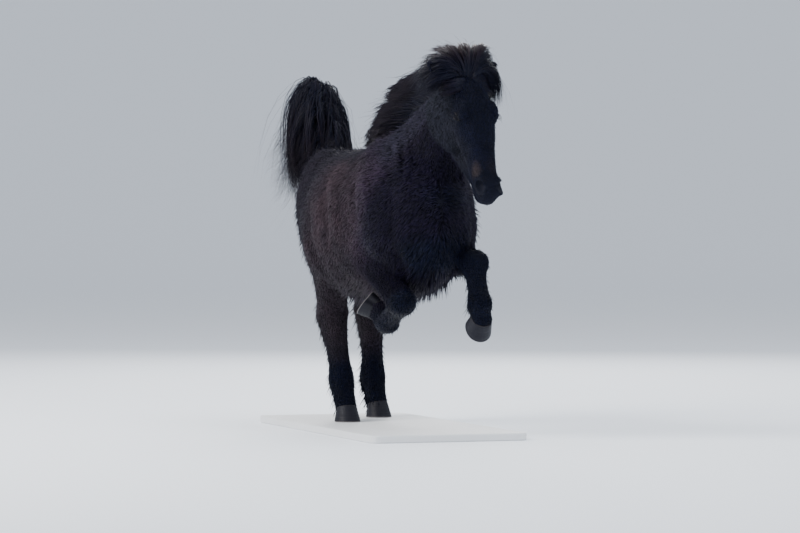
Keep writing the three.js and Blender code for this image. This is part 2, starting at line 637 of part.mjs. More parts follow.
// Long hair: flat locks that taper and bend, fused to a core that reaches at most half way to their tips.
let seed = 41;
function chance(low, high) {
  seed = (seed + 0x6d2b79f5) | 0;
  let t = Math.imul(seed ^ (seed >>> 15), 1 | seed);
  t = (t + Math.imul(t ^ (t >>> 7), 61 | t)) ^ t;
  return low + (((t ^ (t >>> 14)) >>> 0) / 4294967296) * (high - low);
}

// A lock follows a curve through its root, rise, fall and tip. Its cross-section is a low ridge that faces outwards.
const lockWidth = [[0, 0.5], [0.28, 1], [0.58, 0.92], [0.84, 0.52], [1, 0.07]];
function lockSolid({ root, rise, fall, tip, outward, width, thick }) {
  const curve = new THREE.CubicBezierCurve3(root, rise, fall, tip);
  const level = tip.clone().sub(root).cross(outward);
  const rings = lockWidth.map(([v, share]) => {
    const p = curve.getPoint(v);
    const along = curve.getTangent(v);
    const across = level.clone().addScaledVector(along, -level.dot(along)).normalize();
    const face = across.clone().cross(along);
    const [w, h] = [(width * share) / 2, thick * Math.max(share, 0.12)];
    return [
      p.clone().addScaledVector(across, w).addScaledVector(face, -h * 0.3),
      p.clone().addScaledVector(face, h * 0.6),
      p.clone().addScaledVector(across, -w).addScaledVector(face, -h * 0.3),
    ];
  });
  return solid(ringGeometry(rings));
}

function fuse(core, locks, cutters) {
  const whole = wasm.Manifold.union([core, ...locks.map(lockSolid)]);
  const made = largestBody(cutters.reduce((rest, cutter) => rest.subtract(cutter), whole));
  if (touchesItself(made)) throw new Error("locks touch along an edge");
  return made;
}

const mix = (a, b, t) => a.clone().lerp(b, t);
function alongRow(rows, u) {
  const x = u * (rows.length - 1);
  const i = Math.min(Math.floor(x), rows.length - 2);
  return mix(rows[i], rows[i + 1], x - i);
}

// Mane: from the nape to the withers, blown back and to the right. Each crest point has the point its hair reaches.
const crestLine = [at(415, 1478, 58), at(304, 1420, 40), at(203, 1360, 22), at(85, 1288, 8), at(-10, 1262, 0)];
const maneReach = [at(150, 1500, -78), at(70, 1462, -112), at(-22, 1382, -128), at(-100, 1282, -140), at(-205, 1206, -120)];
const maneLayers = [
  { count: 7, lift: 0.5, reach: 1.04, width: 104, shift: 0.1 },
  { count: 7, lift: 1.1, reach: 0.9, width: 98, shift: 0.6 },
  { count: 5, lift: -0.05, reach: 0.86, width: 112, shift: 0.35 },
];
const maneLocks = maneLayers.flatMap(({ count, lift, reach, width, shift }) =>
  Array.from({ length: count }, (_, i) => {
    const u = (i + shift) / count;
    const crest = alongRow(crestLine, Math.min(u, 1));
    const end = mix(crest, alongRow(maneReach, Math.min(u + chance(-0.03, 0.03), 1)), reach * chance(0.93, 1.03));
    const flow = end.clone().sub(crest);
    const run = alongRow(crestLine, Math.min(u + 0.1, 1)).sub(alongRow(crestLine, Math.max(u - 0.1, 0))).normalize();
    const outward = run.clone().cross(flow).normalize();
    if (outward.x > 0) outward.negate();
    const up = towards(-0.35, 0.94, -0.05);
    return {
      root: crest.clone().addScaledVector(up, -6 + chance(-3, 3)),
      rise: crest.clone().addScaledVector(up, 40 + 40 * lift).addScaledVector(flow, 0.22),
      fall: crest.clone().addScaledVector(flow, 0.72).addScaledVector(up, 26 * lift + chance(-14, 22)).addScaledVector(outward, chance(-8, 12)),
      tip: end.addScaledVector(up, chance(-26, 14)),
      outward, width: width * chance(0.85, 1.15), thick: 15,
    };
  }));
const maneCore = solid(ringGeometry([...crestLine].map((p, i) => {
  const flow = maneReach[i].clone().sub(p).normalize();
  const up = towards(-0.35, 0.94, -0.05);
  return [[-34, 0], [-16, 22], [34, 44], [58, 26], [40, -6], [0, -40]].map(([x, y]) => p.clone().addScaledVector(flow, x).addScaledVector(up, y));
})));

seed = 5;
// Forelock: blown up and back over the poll and to both sides of a whorl on the forehead.
const whorl = headPoint(24, 16, 0);
const forelockFan = { first: -104, last: 114, count: 9 };
const forelockLayers = [{ back: 26, reach: 1, width: 70, sink: 0 }, { back: 92, reach: 0.97, width: 80, sink: 22 }];
const forelockLocks = forelockLayers.flatMap(({ back, reach, width, sink }, layer) =>
  Array.from({ length: forelockFan.count - layer }, (_, i) => {
    const share = (i + layer / 2) / (forelockFan.count - 1);
    const turn = THREE.MathUtils.degToRad(THREE.MathUtils.lerp(forelockFan.first, forelockFan.last, share) + chance(-4, 4));
    const [aside, high] = [Math.sin(turn), Math.cos(turn)];
    const far = (aside < 0 ? 172 : 140) * reach * chance(0.93, 1.04);
    const hang = Math.max(aside - 0.72, 0) * 560;
    const root = whorl.clone().addScaledVector(leftward, aside * 16 + chance(-3, 3)).addScaledVector(head.down, 6 + sink * 0.6 + chance(-3, 3)).addScaledVector(head.face, -22 - sink);
    const local = (left, up, behind) => whorl.clone().add(new THREE.Vector3(left, behind, up));
    return {
      root,
      rise: local(aside * 46, 62 + 26 * high, -14 + back * 0.4),
      fall: local(aside * (far * 0.86 + hang * 0.22), 78 + 84 * high * reach - hang * 0.12, back * 0.8 + 6),
      tip: local(aside * (far * 1.06 + hang * 0.08), (high > 0 ? 40 + 112 * high * reach : 40 + 60 * high) - hang, back + 44 + 34 * high),
      outward: new THREE.Vector3(aside * 0.5, -0.62, 0.62 + 0.2 * high - hang * 0.006), width: width * chance(0.85, 1.15), thick: 14,
    };
  }));
const forelockCore = headOvoid([4, -26, 0], [62, 52, 60], [12, 8]);

seed = 1;
// Tail: a raised dock, with hair that rises from it and falls on all sides like a fountain.
const dock = [at(-962, 1100), at(-1010, 1215), at(-1058, 1320), at(-1104, 1410, -4), at(-1146, 1482, -6)];
const dockSizes = [50, 49, 45, 40, 33];
const tailRounds = [
  { v: 0.97, count: 9, first: 20, spread: 112, lift: 128, drop: 440, width: 74 },
  { v: 0.7, count: 9, first: 0, spread: 138, lift: 150, drop: 420, width: 78 },
  { v: 0.42, count: 6, first: 22, spread: 128, lift: 96, drop: 320, width: 84 },
];
const tailLocks = tailRounds.flatMap(({ v, count, first, spread, lift, drop, width }) =>
  Array.from({ length: count }, (_, i) => {
    const turn = THREE.MathUtils.degToRad(first + (360 * i) / count + chance(-8, 8));
    const [side, backward] = [Math.sin(turn), Math.cos(turn)];
    const from = alongRow(dock, v);
    const out = spread * chance(0.85, 1.12);
    const front = Math.max(-backward, 0);
    const fallBy = drop * (1 - 0.5 * front) * chance(0.88, 1.08);
    const local = (left, up, behind) => from.clone().add(new THREE.Vector3(left, behind, up));
    return {
      root: local(side * 9 + chance(-3, 3), -12 + chance(-6, 6), backward * 9 + chance(-3, 3)),
      rise: local(side * out * 0.7, lift * chance(0.95, 1.15), backward * out * 0.6 + 34),
      fall: local(side * out * 1.5, lift * 0.45 - fallBy * 0.22, backward * out * 1.25 + 66),
      tip: local(side * out * 1.16 + chance(-16, 16), -fallBy, backward * out * 1.1 + 84 + 30 * backward),
      outward: new THREE.Vector3(side, backward, 0.35).normalize(), width: width * chance(0.88, 1.12), thick: 16,
    };
  }));
const tailCore = solid(ringGeometry(dock.map((p, i) => {
  const ahead = dock[Math.min(i + 1, dock.length - 1)].clone().sub(dock[Math.max(i - 1, 0)]).normalize();
  const depth = ahead.clone().cross(leftward);
  return Array.from({ length: 8 }, (_, k) => p.clone()
    .addScaledVector(leftward, Math.cos((Math.PI * k) / 4 + 0.2) * dockSizes[i])
    .addScaledVector(depth, Math.sin((Math.PI * k) / 4 + 0.2) * dockSizes[i]));
})));

// Mane and forelock meet at a plane behind the ears.
const napePlane = { point: at(446, 1500, 60), direction: towards(0.92, 0.3, 0.16) };
const frontOfNape = beyond(napePlane.point, napePlane.direction);
const backOfNape = beyond(napePlane.point.clone().addScaledVector(napePlane.direction, gap), napePlane.direction.clone().negate());
const neckGrown = grown(neckCore.whole);
const earsGrown = Object.values(ears).map((one) => grown(one));
addNode("mane", fuse(maneCore, maneLocks, [neckGrown, torsoGrown, headGrown, frontOfNape]), hairColour, 0.7);
addNode("forelock", fuse(forelockCore, forelockLocks, [headGrown, neckGrown, ...earsGrown, backOfNape]), hairColour, 0.7);
addNode("tail", fuse(tailCore, tailLocks, [torsoGrown]), hairColour, 0.7);

// Base: a plain board with rounded corners, under the hind feet and the middle of the body.
function baseBoard() {
  const [halfX, halfY] = [base.width / 2 - base.bevel, base.length / 2 - base.bevel];
  const outline = new THREE.Shape();
  const r = base.corner;
  outline.moveTo(-halfX + r, -halfY);
  outline.absarc(halfX - r, -halfY + r, r, -Math.PI / 2, 0);
  outline.absarc(halfX - r, halfY - r, r, 0, Math.PI / 2);
  outline.absarc(-halfX + r, halfY - r, r, Math.PI / 2, Math.PI);
  outline.absarc(-halfX + r, -halfY + r, r, Math.PI, 1.5 * Math.PI);
  const board = new THREE.ExtrudeGeometry(outline, {
    depth: base.thickness - 2 * base.bevel, bevelThickness: base.bevel, bevelSize: base.bevel, bevelSegments: 1, curveSegments: 2,
  });
  return board.translate(0, 0, base.bevel);
}
addNode("stand_base", solid(baseBoard()), 0xd9dcdf, 0.6);

export default group;
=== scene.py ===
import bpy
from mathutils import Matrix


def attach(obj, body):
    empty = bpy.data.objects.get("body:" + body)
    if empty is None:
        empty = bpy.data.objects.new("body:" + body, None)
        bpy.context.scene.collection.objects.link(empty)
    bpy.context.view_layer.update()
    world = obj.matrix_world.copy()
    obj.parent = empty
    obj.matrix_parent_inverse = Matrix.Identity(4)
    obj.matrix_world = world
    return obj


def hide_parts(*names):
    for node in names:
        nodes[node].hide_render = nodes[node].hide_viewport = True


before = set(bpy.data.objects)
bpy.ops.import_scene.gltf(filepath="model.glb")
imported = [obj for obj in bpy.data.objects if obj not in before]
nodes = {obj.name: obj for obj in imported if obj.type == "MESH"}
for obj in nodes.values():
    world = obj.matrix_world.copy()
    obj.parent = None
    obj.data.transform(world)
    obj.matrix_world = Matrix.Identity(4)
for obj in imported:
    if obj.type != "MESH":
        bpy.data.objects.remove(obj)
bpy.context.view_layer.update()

import math

import bpy
import numpy as np
from mathutils import Vector
from mathutils.kdtree import KDTree

print("stage: frame loaded")

# Places and directions.
mm = 0.001
baseSizes = {"centreForward": -215, "top": 32.32}


def at(forward, up, left=0):
    return np.array([left, baseSizes["centreForward"] - forward, up + baseSizes["top"]]) * mm


def unit(v):
    v = np.asarray(v, float)
    return v / np.maximum(np.linalg.norm(v, axis=-1, keepdims=True), 1e-9)


def towards(forward, up, left=0):
    return unit([left, -forward, up])


leftward = towards(0, 0, 1)
headPose = {"tilt": math.radians(22), "turn": math.radians(11), "poll": (572, 1502, 90)}
tiltSin, tiltCos = math.sin(headPose["tilt"]), math.cos(headPose["tilt"])
turnSin, turnCos = math.sin(headPose["turn"]), math.cos(headPose["turn"])
headDown = towards(tiltSin * turnCos, -tiltCos, tiltSin * turnSin)
headFace = towards(tiltCos * turnCos, tiltSin, tiltCos * turnSin)
headSide = towards(-turnSin, 0, turnCos)


def headPoint(down, face, side=0):
    return at(*headPose["poll"]) + (headDown * down + headFace * face + headSide * side) * mm


# The camera, far off with a long lens.
camera = {"distance": 16.0, "yaw": math.radians(19), "height": 0.982, "lens": 165.6, "sensor": 36, "farEnd": 200,
          "aimUp": 0.728, "aimRight": -0.0174}


def addCamera():
    data = bpy.data.cameras.new("viewCamera")
    data.lens = camera["lens"]
    data.sensor_width = camera["sensor"]
    data.clip_end = camera["farEnd"]
    cam = bpy.data.objects.new("viewCamera", data)
    bpy.context.scene.collection.objects.link(cam)
    c, s = math.cos(camera["yaw"]), math.sin(camera["yaw"])
    middle = Vector((0, baseSizes["centreForward"] * mm, 0))
    cam.location = middle + Vector((-s, -c, 0)) * camera["distance"] + Vector((0, 0, camera["height"]))
    aim = middle + Vector((c, -s, 0)) * camera["aimRight"] + Vector((0, 0, camera["aimUp"]))
    cam.rotation_euler = (aim - cam.location).to_track_quat("-Z", "Y").to_euler()
    bpy.context.scene.camera = cam


addCamera()

# The body as distance functions.
# A part is a sweep: rows along it with a place, a half-width, a depth to the front or crest and one to the back.
body = {
    "trunk": {
        "buttock": (-990, 1005, 0, 74, 74, 110), "tailRoot": (-940, 1005, 0, 142, 128, 190),
        "pinBones": (-860, 990, 0, 180, 193, 250), "hip": (-745, 960, 0, 216, 252, 258),
        "loin": (-600, 930, 0, 254, 283, 308), "lastRib": (-450, 905, 0, 290, 298, 350),
        "barrel": (-300, 900, 0, 304, 300, 350), "girth": (-150, 905, 0, 292, 318, 345),
        "withers": (0, 925, 0, 255, 340, 350), "shoulder": (130, 930, 0, 230, 330, 345),
        "chest": (250, 930, 0, 212, 262, 310), "breast": (325, 925, 0, 170, 195, 235),
        "breastEnd": (372, 922, 0, 84, 96, 125),
    },
    "neck": {
        "root": (120, 1050, 0, 165, 215, 225), "base": (215, 1135, 8, 134, 200, 205),
        "low": (320, 1225, 22, 108, 180, 176), "middle": (410, 1300, 40, 92, 163, 152),
        "throat": (490, 1368, 58, 82, 140, 132), "nape": (545, 1410, 72, 72, 105, 110),
    },
    "skull": {
        "poll": (-8, -72, 0, 52, 66, 62), "ears": (50, -62, 0, 78, 90, 80), "brow": (120, -52, 0, 92, 96, 85),
        "eyes": (185, -46, 0, 92, 92, 84), "cheekbone": (250, -42, 0, 83, 80, 72),
        "nose": (320, -42, 0, 69, 67, 56), "bridge": (390, -44, 0, 59, 58, 46),
        "noseEnd": (450, -44, 0, 56, 51, 40), "nostrils": (494, -46, 0, 55, 47, 36),
        "upperLip": (522, -52, 0, 44, 37, 28), "lipEnd": (540, -58, 0, 29, 20, 16),
    },
    "jaw": {
        "angle": (105, -150, 0, 50, 55, 66), "cheek": (180, -160, 0, 62, 62, 84),
        "lowCheek": (245, -150, 0, 60, 58, 78), "bars": (315, -122, 0, 46, 45, 62),
        "middle": (385, -102, 0, 38, 36, 44), "chinGroove": (445, -91, 0, 35, 30, 30),
        "chin": (488, -89, 0, 37, 25, 28), "lowerLip": (517, -84, 0, 35, 14, 24),
        "lipTip": (531, -80, 0, 23, 8, 14),
    },
    "dock": {
        "root": (-930, 1040, 0, 52, 52, 52), "low": (-962, 1100, 0, 50, 50, 50),
        "lower": (-1010, 1215, 0, 48, 48, 48), "upper": (-1058, 1320, 0, 44, 44, 44),
        "high": (-1104, 1410, -4, 38, 38, 38), "tip": (-1140, 1472, -6, 26, 26, 26),
    },
}
hind = {
    "left": {"hip": (-790, 1000, 112), "stifle": (-632, 712, 178), "hock": (-866, 505, 138),
             "fetlock": (-802, 186, 128), "sole": at(-722, 0, 127), "toe": towards(1, 0, 0.06),
             "under": towards(0, -1, 0)},
    "right": {"hip": (-780, 1005, -112), "stifle": (-525, 778, -165), "hock": (-646, 487, -117),
              "fetlock": (-503, 192, -121), "sole": at(-418, 0, -122), "toe": towards(1, 0, -0.06),
              "under": towards(0, -1, 0)},
}
fore = {
    "left": {"elbow": (72, 766, 169), "knee": (440, 716, 166), "fetlock": (570, 547, 143),
             "sole": at(508, 437, 156), "toe": towards(0.5, -0.87, 0.02), "under": towards(-0.87, -0.5, 0)},
    "right": {"elbow": (5, 775, -156), "knee": (325, 548, -120), "fetlock": (118, 456, -116),
              "sole": at(2, 541, -180), "toe": towards(-0.905, -0.398, 0.148), "under": towards(-0.38, 0.6, -0.7)},
}
hoofSize = {"toe": 66, "heel": 56, "half": 58, "topToe": 46, "topHeel": 44, "topHalf": 45, "height": 62,
            "setBack": 17, "slope": 0.3}


def coronet(leg):
    return leg["sole"] - leg["under"] * hoofSize["height"] * mm - leg["toe"] * hoofSize["setBack"] * mm


def unplace(p):
    return (baseSizes["centreForward"] - p[1] / mm, p[2] / mm - baseSizes["top"], p[0] / mm)


def sweep(stations, side=leftward, power=2.2, place=at):
    rows = np.array([[*place(*row[:3]), *(np.array(row[3:]) * mm)] for row in stations])
    fine = []
    for i in range(len(rows) - 1):
        a, b, c, d = rows[max(i - 1, 0)], rows[i], rows[i + 1], rows[min(i + 2, len(rows) - 1)]
        for t in (0, 1 / 3, 2 / 3):
            fine.append(0.5 * (2 * b + (c - a) * t + (2 * a - 5 * b + 4 * c - d) * t * t
                               + (3 * b - a - 3 * c + d) * t**3))
    fine = np.array([*fine, rows[-1]])
    start, end = fine[:-1], fine[1:]
    along = end[:, :3] - start[:, :3]
    length = np.linalg.norm(along, axis=1)
    along = along / length[:, None]
    across = unit(side - (along @ side)[:, None] * along)
    reach = length / 2 + np.maximum(start[:, 3:].max(1), end[:, 3:].max(1)) * 1.1
    return {"start": start, "end": end, "along": along, "length": length, "across": across,
            "front": np.cross(along, across), "power": power, "middle": (start[:, :3] + end[:, :3]) / 2,
            "reach": reach, "low": fine[:, :3].min(0) - fine[:, 3:].max(),
            "high": fine[:, :3].max(0) + fine[:, 3:].max()}


def inSections(count, size=60000):
    return [slice(i, min(i + size, count)) for i in range(0, count, size)]


def toSweep(shape, points, margin=0.17):
    best = np.full(len(points), 1.0)
    inside = np.flatnonzero(((points > shape["low"] - margin) & (points < shape["high"] + margin)).all(1))
    if not len(inside):
        return best
    p = points[inside]
    near = best[inside]
    for k in range(len(shape["length"])):
        gap = np.sqrt(((p - shape["middle"][k]) ** 2).sum(1)) - shape["reach"][k]
        use = np.flatnonzero(gap < near)
        if not len(use):
            continue
        q = p[use] - shape["start"][k, :3]
        run = q @ shape["along"][k]
        t = np.clip(run / shape["length"][k], 0, 1)
        z = run - t * shape["length"][k]
        x, y = q @ shape["across"][k], q @ shape["front"][k]
        start, end = shape["start"][k], shape["end"][k]
        half, ahead, behind = [start[j] + (end[j] - start[j]) * t for j in (3, 4, 5)]
        depth = np.where(y > 0, ahead, behind)
        e = shape["power"]
        flat = (np.abs(x / half) ** e + np.abs(y / depth) ** e) ** (1 / e)
        ratio = np.hypot(flat, z / np.minimum(half, depth)) + 1e-6
        d = np.sqrt(x * x + y * y + z * z) * (1 - 1 / ratio) - np.where(ratio < 1e-3, half * 0.5, 0)
        near[use] = np.minimum(near[use], d)
    best[inside] = near
    return best


def ovoid(centre, halves, axisA, axisB):
    a = unit(axisA)
    b = unit(axisB - a * np.dot(axisB, a))
    return {"centre": centre, "axes": np.array([a, b, np.cross(a, b)]), "halves": np.array(halves) * mm}


def toOvoid(shape, points):
    q = (points - shape["centre"]) @ shape["axes"].T
    ratio = np.sqrt(((q / shape["halves"]) ** 2).sum(1)) + 1e-6
    return np.maximum(np.sqrt((q**2).sum(1)), 1e-6) * (1 - 1 / ratio)


def soft(a, b, size):
    h = np.maximum(size - np.abs(a - b), 0) / size
    return np.minimum(a, b) - h * h * size / 4


def between(a, b, t):
    return tuple(u + (v - u) * t for u, v in zip(a, b))


def legRows(leg, kind):
    end = unplace(coronet(leg))
    if kind == "hind":
        g = lambda t, *s: (*between(leg["stifle"], leg["hock"], t), *s)
        c = lambda t, *s: (*between(leg["hock"], leg["fetlock"], t), *s)
        upper = [g(0, 92, 98, 122), g(0.3, 88, 96, 102), g(0.6, 78, 76, 78), g(0.85, 69, 62, 70), g(1, 65, 59, 69)]
        lower = [c(-0.07, 46, 44, 56), c(0.02, 65, 57, 71), c(0.22, 58, 52, 67), c(0.45, 50, 46, 58),
                 c(0.75, 47, 44, 51), c(1, 55, 50, 59), (*between(leg["fetlock"], end, 0.55), 46, 42, 50),
                 (*end, 46, 46, 44)]
    else:
        g = lambda t, *s: (*between(leg["elbow"], leg["knee"], t), *s)
        c = lambda t, *s: (*between(leg["knee"], leg["fetlock"], t), *s)
        upper = [g(-0.06, 84, 94, 104), g(0.2, 80, 84, 96), g(0.5, 69, 66, 76), g(0.8, 59, 52, 57), g(1, 60, 52, 52)]
        lower = [c(-0.05, 50, 44, 44), c(0.14, 50, 46, 50), c(0.42, 42, 40, 46), c(0.74, 42, 40, 46),
                 c(1, 52, 47, 54), (*between(leg["fetlock"], end, 0.55), 44, 40, 45), (*end, 46, 44, 42)]
    return upper, lower


bothSides = (1, -1)
trunkShape = sweep(body["trunk"].values(), power=2.3)
neckShape = sweep(body["neck"].values(), power=2.1)
skullShape = sweep(body["skull"].values(), headSide, 2.3, headPoint)
jawShape = sweep(body["jaw"].values(), headSide, 2.3, headPoint)
thighShapes = [sweep([(*leg["hip"], 98, 150, 190), (*between(leg["hip"], leg["stifle"], 0.5), 104, 150, 195),
                      (*leg["stifle"], 88, 92, 150)]) for leg in hind.values()]
legShapes = {}
for sideName in ("left", "right"):
    for kind, legs in (("hind", hind), ("fore", fore)):
        legShapes[kind + sideName] = [sweep(rows) for rows in legRows(legs[sideName], kind)]
dockRows = list(body["dock"].values())
legShapes["dock"] = [sweep(dockRows[:4]), sweep(dockRows[3:])]
hamstrings = [
    sweep([(-905, 905, 112, 70, 70, 70), (-865, 770, 132, 62, 62, 62), (-822, 655, 146, 50, 50, 50),
           (-828, 590, 142, 36, 36, 36)]),
    sweep([(-905, 905, -112, 70, 70, 70), (-800, 770, -134, 64, 64, 64), (-690, 650, -138, 52, 52, 52),
           (-652, 580, -126, 36, 36, 36)]),
]
bulk = [shape for s in bothSides for shape in (
    ovoid(at(130, 985, s * 168), (250, 120, 72), towards(-0.45, 0.89, -s * 0.12), towards(1, 0.5)),
    ovoid(at(250, 860, s * 118), (110, 120, 88), towards(0.2, 1), towards(1, 0)),
    ovoid(at(60, 790, s * 158), (105, 110, 78), towards(0.7, 0.7), towards(1, -0.7)),
    ovoid(at(-790, 985, s * 108), (225, 200, 98), towards(0.25, 1), towards(1, -0.25)),
)]
headBulk = [shape for s in bothSides for shape in (
    ovoid(headPoint(190, -112, s * 60), (98, 82, 34), headDown, headFace),
    ovoid(headPoint(160, 6, s * 75), (44, 34, 24), headDown, headFace),
    ovoid(headPoint(262, -40, s * 68), (78, 15, 14), towards(0.3, -1), headFace),
    ovoid(headPoint(488, -26, s * 40), (42, 27, 22), headDown, headFace),
)]
eye = {"down": 178, "face": -8, "side": 83, "radius": 20.5, "lid": 25.5, "slit": (20.5, 11.5), "bow": 0.012,
       "slant": math.radians(33)}
eyeLong = math.cos(eye["slant"]) * headDown + math.sin(eye["slant"]) * headFace
eyeHigh = math.cos(eye["slant"]) * headFace - math.sin(eye["slant"]) * headDown
orbits = [ovoid(headPoint(178, -10, s * 73), (29, 27, 26), headDown, headFace) for s in bothSides]
nostrils = [
    (ovoid(headPoint(494, -14, s * 49), (38, 22, 17), headDown, headFace),
     ovoid(headPoint(498, -6, s * 56), (35, 16.5, 24), headDown + headFace * 0.3, headFace)) for s in bothSides]
mouth = {"place": (514, -72), "gap": 2.6, "bow": 0.0012, "round": (78, 70), "within": (66, 46), "tall": 40,
         "depth": 14}
ear = {
    "root": (16, -40, 50), "tip": (-80, -22, 170), "half": 31, "depth": 20, "wall": 8, "bend": 6,
    "stations": (-0.1, 0, 0.14, 0.36, 0.6, 0.82, 0.95, 1), "sizes": (0.5, 0.64, 0.84, 1, 0.9, 0.58, 0.26, 0.06),
}


def eyeCentre(s):
    return headPoint(eye["down"], eye["face"], s * eye["side"])


def toEar(points, s):
    root, tip = headPoint(*ear["root"][:2], s * ear["root"][2]), headPoint(*ear["tip"][:2], s * ear["tip"][2])
    along = tip - root
    length = np.linalg.norm(along)
    along = along / length
    opening = headFace * 0.8 + headDown * 0.55
    opening = unit(opening - along * np.dot(opening, along))
    across = np.cross(along, opening)
    q = points - root
    v = q @ along / length
    vc = np.clip(v, -0.1, 1)
    x, y = q @ across, q @ opening + ear["bend"] * mm * np.sin(np.pi * np.clip(v, 0, 1))
    size = np.interp(vc, ear["stations"], ear["sizes"])
    half, depth = ear["half"] * mm * size, ear["depth"] * mm * size + 3 * mm
    wall = ear["wall"] * mm * np.minimum(size + 0.25, 1)
    outer = (np.hypot(x / half, y / depth) - 1) * np.minimum(half, depth)
    outer = np.maximum(outer, y - 2 * mm)
    outer = np.maximum(outer, (np.abs(v - 0.45) - 0.55) * length)
    cup, cupDepth = np.maximum(half - wall, 1 * mm), np.maximum(depth - wall, 1 * mm)
    cavity = (np.hypot(x / cup, (y - 2 * mm) / cupDepth) - 1) * np.minimum(cup, cupDepth)
    cavity = np.maximum(cavity, (0.1 - v) * length)
    return np.maximum(outer, -cavity)


# How deep the skin lies under the tips of the coat, in millimetres.
coatDepth = {"trunk": 11, "neck": 11, "head": 3.5, "leg": 4.5}
# How wide the blend is where two forms meet, in metres.
blend = {"bulk": 0.08, "hamstring": 0.06, "head": 0.026, "orbit": 0.014, "joint": 0.024, "neck": 0.11, "skull": 0.03,
         "leg": 0.035, "ear": 0.012, "lid": 0.006, "nostril": 0.01, "hole": 0.006, "mouth": 0.005,
         "skinShare": 0.022, "coatShare": 0.03}
nearHead = {"centre": (220, -40), "reach": 0.42}
# Folds and muscle edges of the right side, mirrored on the left: places, then height and half-width.
# A groove has a negative height.
creases = [
    ([(260, 1227, 121), (314, 1175, 131), (361, 1111, 138)], 12, 20),
    ([(316, 1239, 95), (370, 1154, 109), (408, 1060, 127)], 12, 20),
    ([(289, 1231, 109), (347, 1162, 119), (383, 1086, 136)], -16, 15),
    ([(296, 1129, 165), (338, 1026, 184), (362, 920, 192), (364, 814, 183)], -19, 30),
    ([(344, 772, 177), (336, 721, 147), (310, 665, 107)], -31, 26),
    ([(-172, 1094, 250), (-124, 963, 289), (-84, 811, 279)], 12, 28),
    ([(-304, 1082, 258), (-222, 963, 299), (-183, 810, 293)], -19, 38),
    ([(-513, 963, 280), (-526, 830, 286), (-480, 710, 263), (-420, 613, 194)], 14, 24),
    ([(-455, 960, 296), (-452, 830, 296), (-410, 720, 270), (-350, 640, 210)], -19, 30),
    ([(-930, 1060, 120), (-915, 930, 165), (-860, 780, 190)], -16, 24),
    ([(70, 1160, 150), (150, 1080, 215), (235, 960, 235)], 11, 26),
    ([(20, 1120, 190), (60, 980, 250), (90, 860, 245)], -14, 26),
]


def crossedBy(crease, points):
    # How far a fold lifts the skin at each point.
    places, height, width = crease
    raised = np.zeros(len(points))
    for s in bothSides:
        line = np.array([at(f, u, left * s) for f, u, left in places])
        reach = width * 2.6 * mm
        near = np.flatnonzero(((points > line.min(0) - reach) & (points < line.max(0) + reach)).all(1))
        if not len(near):
            continue
        p, d = points[near], np.full(len(near), 9.0)
        fade = np.ones(len(near))
        for i, (a, b) in enumerate(zip(line, line[1:])):
            t = np.clip((p - a) @ (b - a) / ((b - a) ** 2).sum(), 0, 1)
            gap = np.linalg.norm(p - a - t[:, None] * (b - a), axis=1)
            use = gap < d
            share = np.clip((i + t[use]) / (len(line) - 1), 0.02, 0.98)
            d[use], fade[use] = gap[use], np.sin(share * math.pi) ** 0.5
        raised[near] += height * mm * fade * np.exp(-((d / (width * mm)) ** 2))
    return raised


def bodyParts(points):
    trunk = toSweep(trunkShape, points)
    for one in bulk:
        trunk = soft(trunk, toOvoid(one, points), blend["bulk"])
    for one in thighShapes:
        trunk = soft(trunk, toSweep(one, points), blend["bulk"])
    for one in hamstrings:
        trunk = soft(trunk, toSweep(one, points), blend["hamstring"])
    neck = toSweep(neckShape, points)
    skull = soft(toSweep(skullShape, points, 0.08), toSweep(jawShape, points, 0.08), blend["head"])
    near = np.flatnonzero(skull < 0.12)
    if len(near):
        p, d = points[near], skull[near]
        for one in headBulk:
            d = soft(d, toOvoid(one, p), blend["head"])
        for one in orbits:
            d = soft(d, toOvoid(one, p), blend["orbit"])
        skull[near] = d
    legs = {}
    for name, (upper, lower) in legShapes.items():
        legs[name] = soft(toSweep(upper, points, 0.1), toSweep(lower, points, 0.1), blend["joint"])
    return trunk, neck, skull, legs


def shares(distances, width):
    # How much each part has to say at a point: the nearest the most, fading over a width.
    least = np.minimum.reduce(list(distances.values()))
    share = {name: np.exp(-(d - least) / width) for name, d in distances.items()}
    total = sum(share.values())
    return {name: w / total for name, w in share.items()}


def toCoatTips(points):
    trunk, neck, skull, legs = bodyParts(points)
    limb = np.minimum.reduce(list(legs.values()))
    whole = soft(soft(soft(trunk, neck, blend["neck"]), skull, blend["skull"]), limb, blend["leg"])
    return whole, shares({"trunk": trunk, "neck": neck, "head": skull, "leg": limb}, blend["skinShare"])


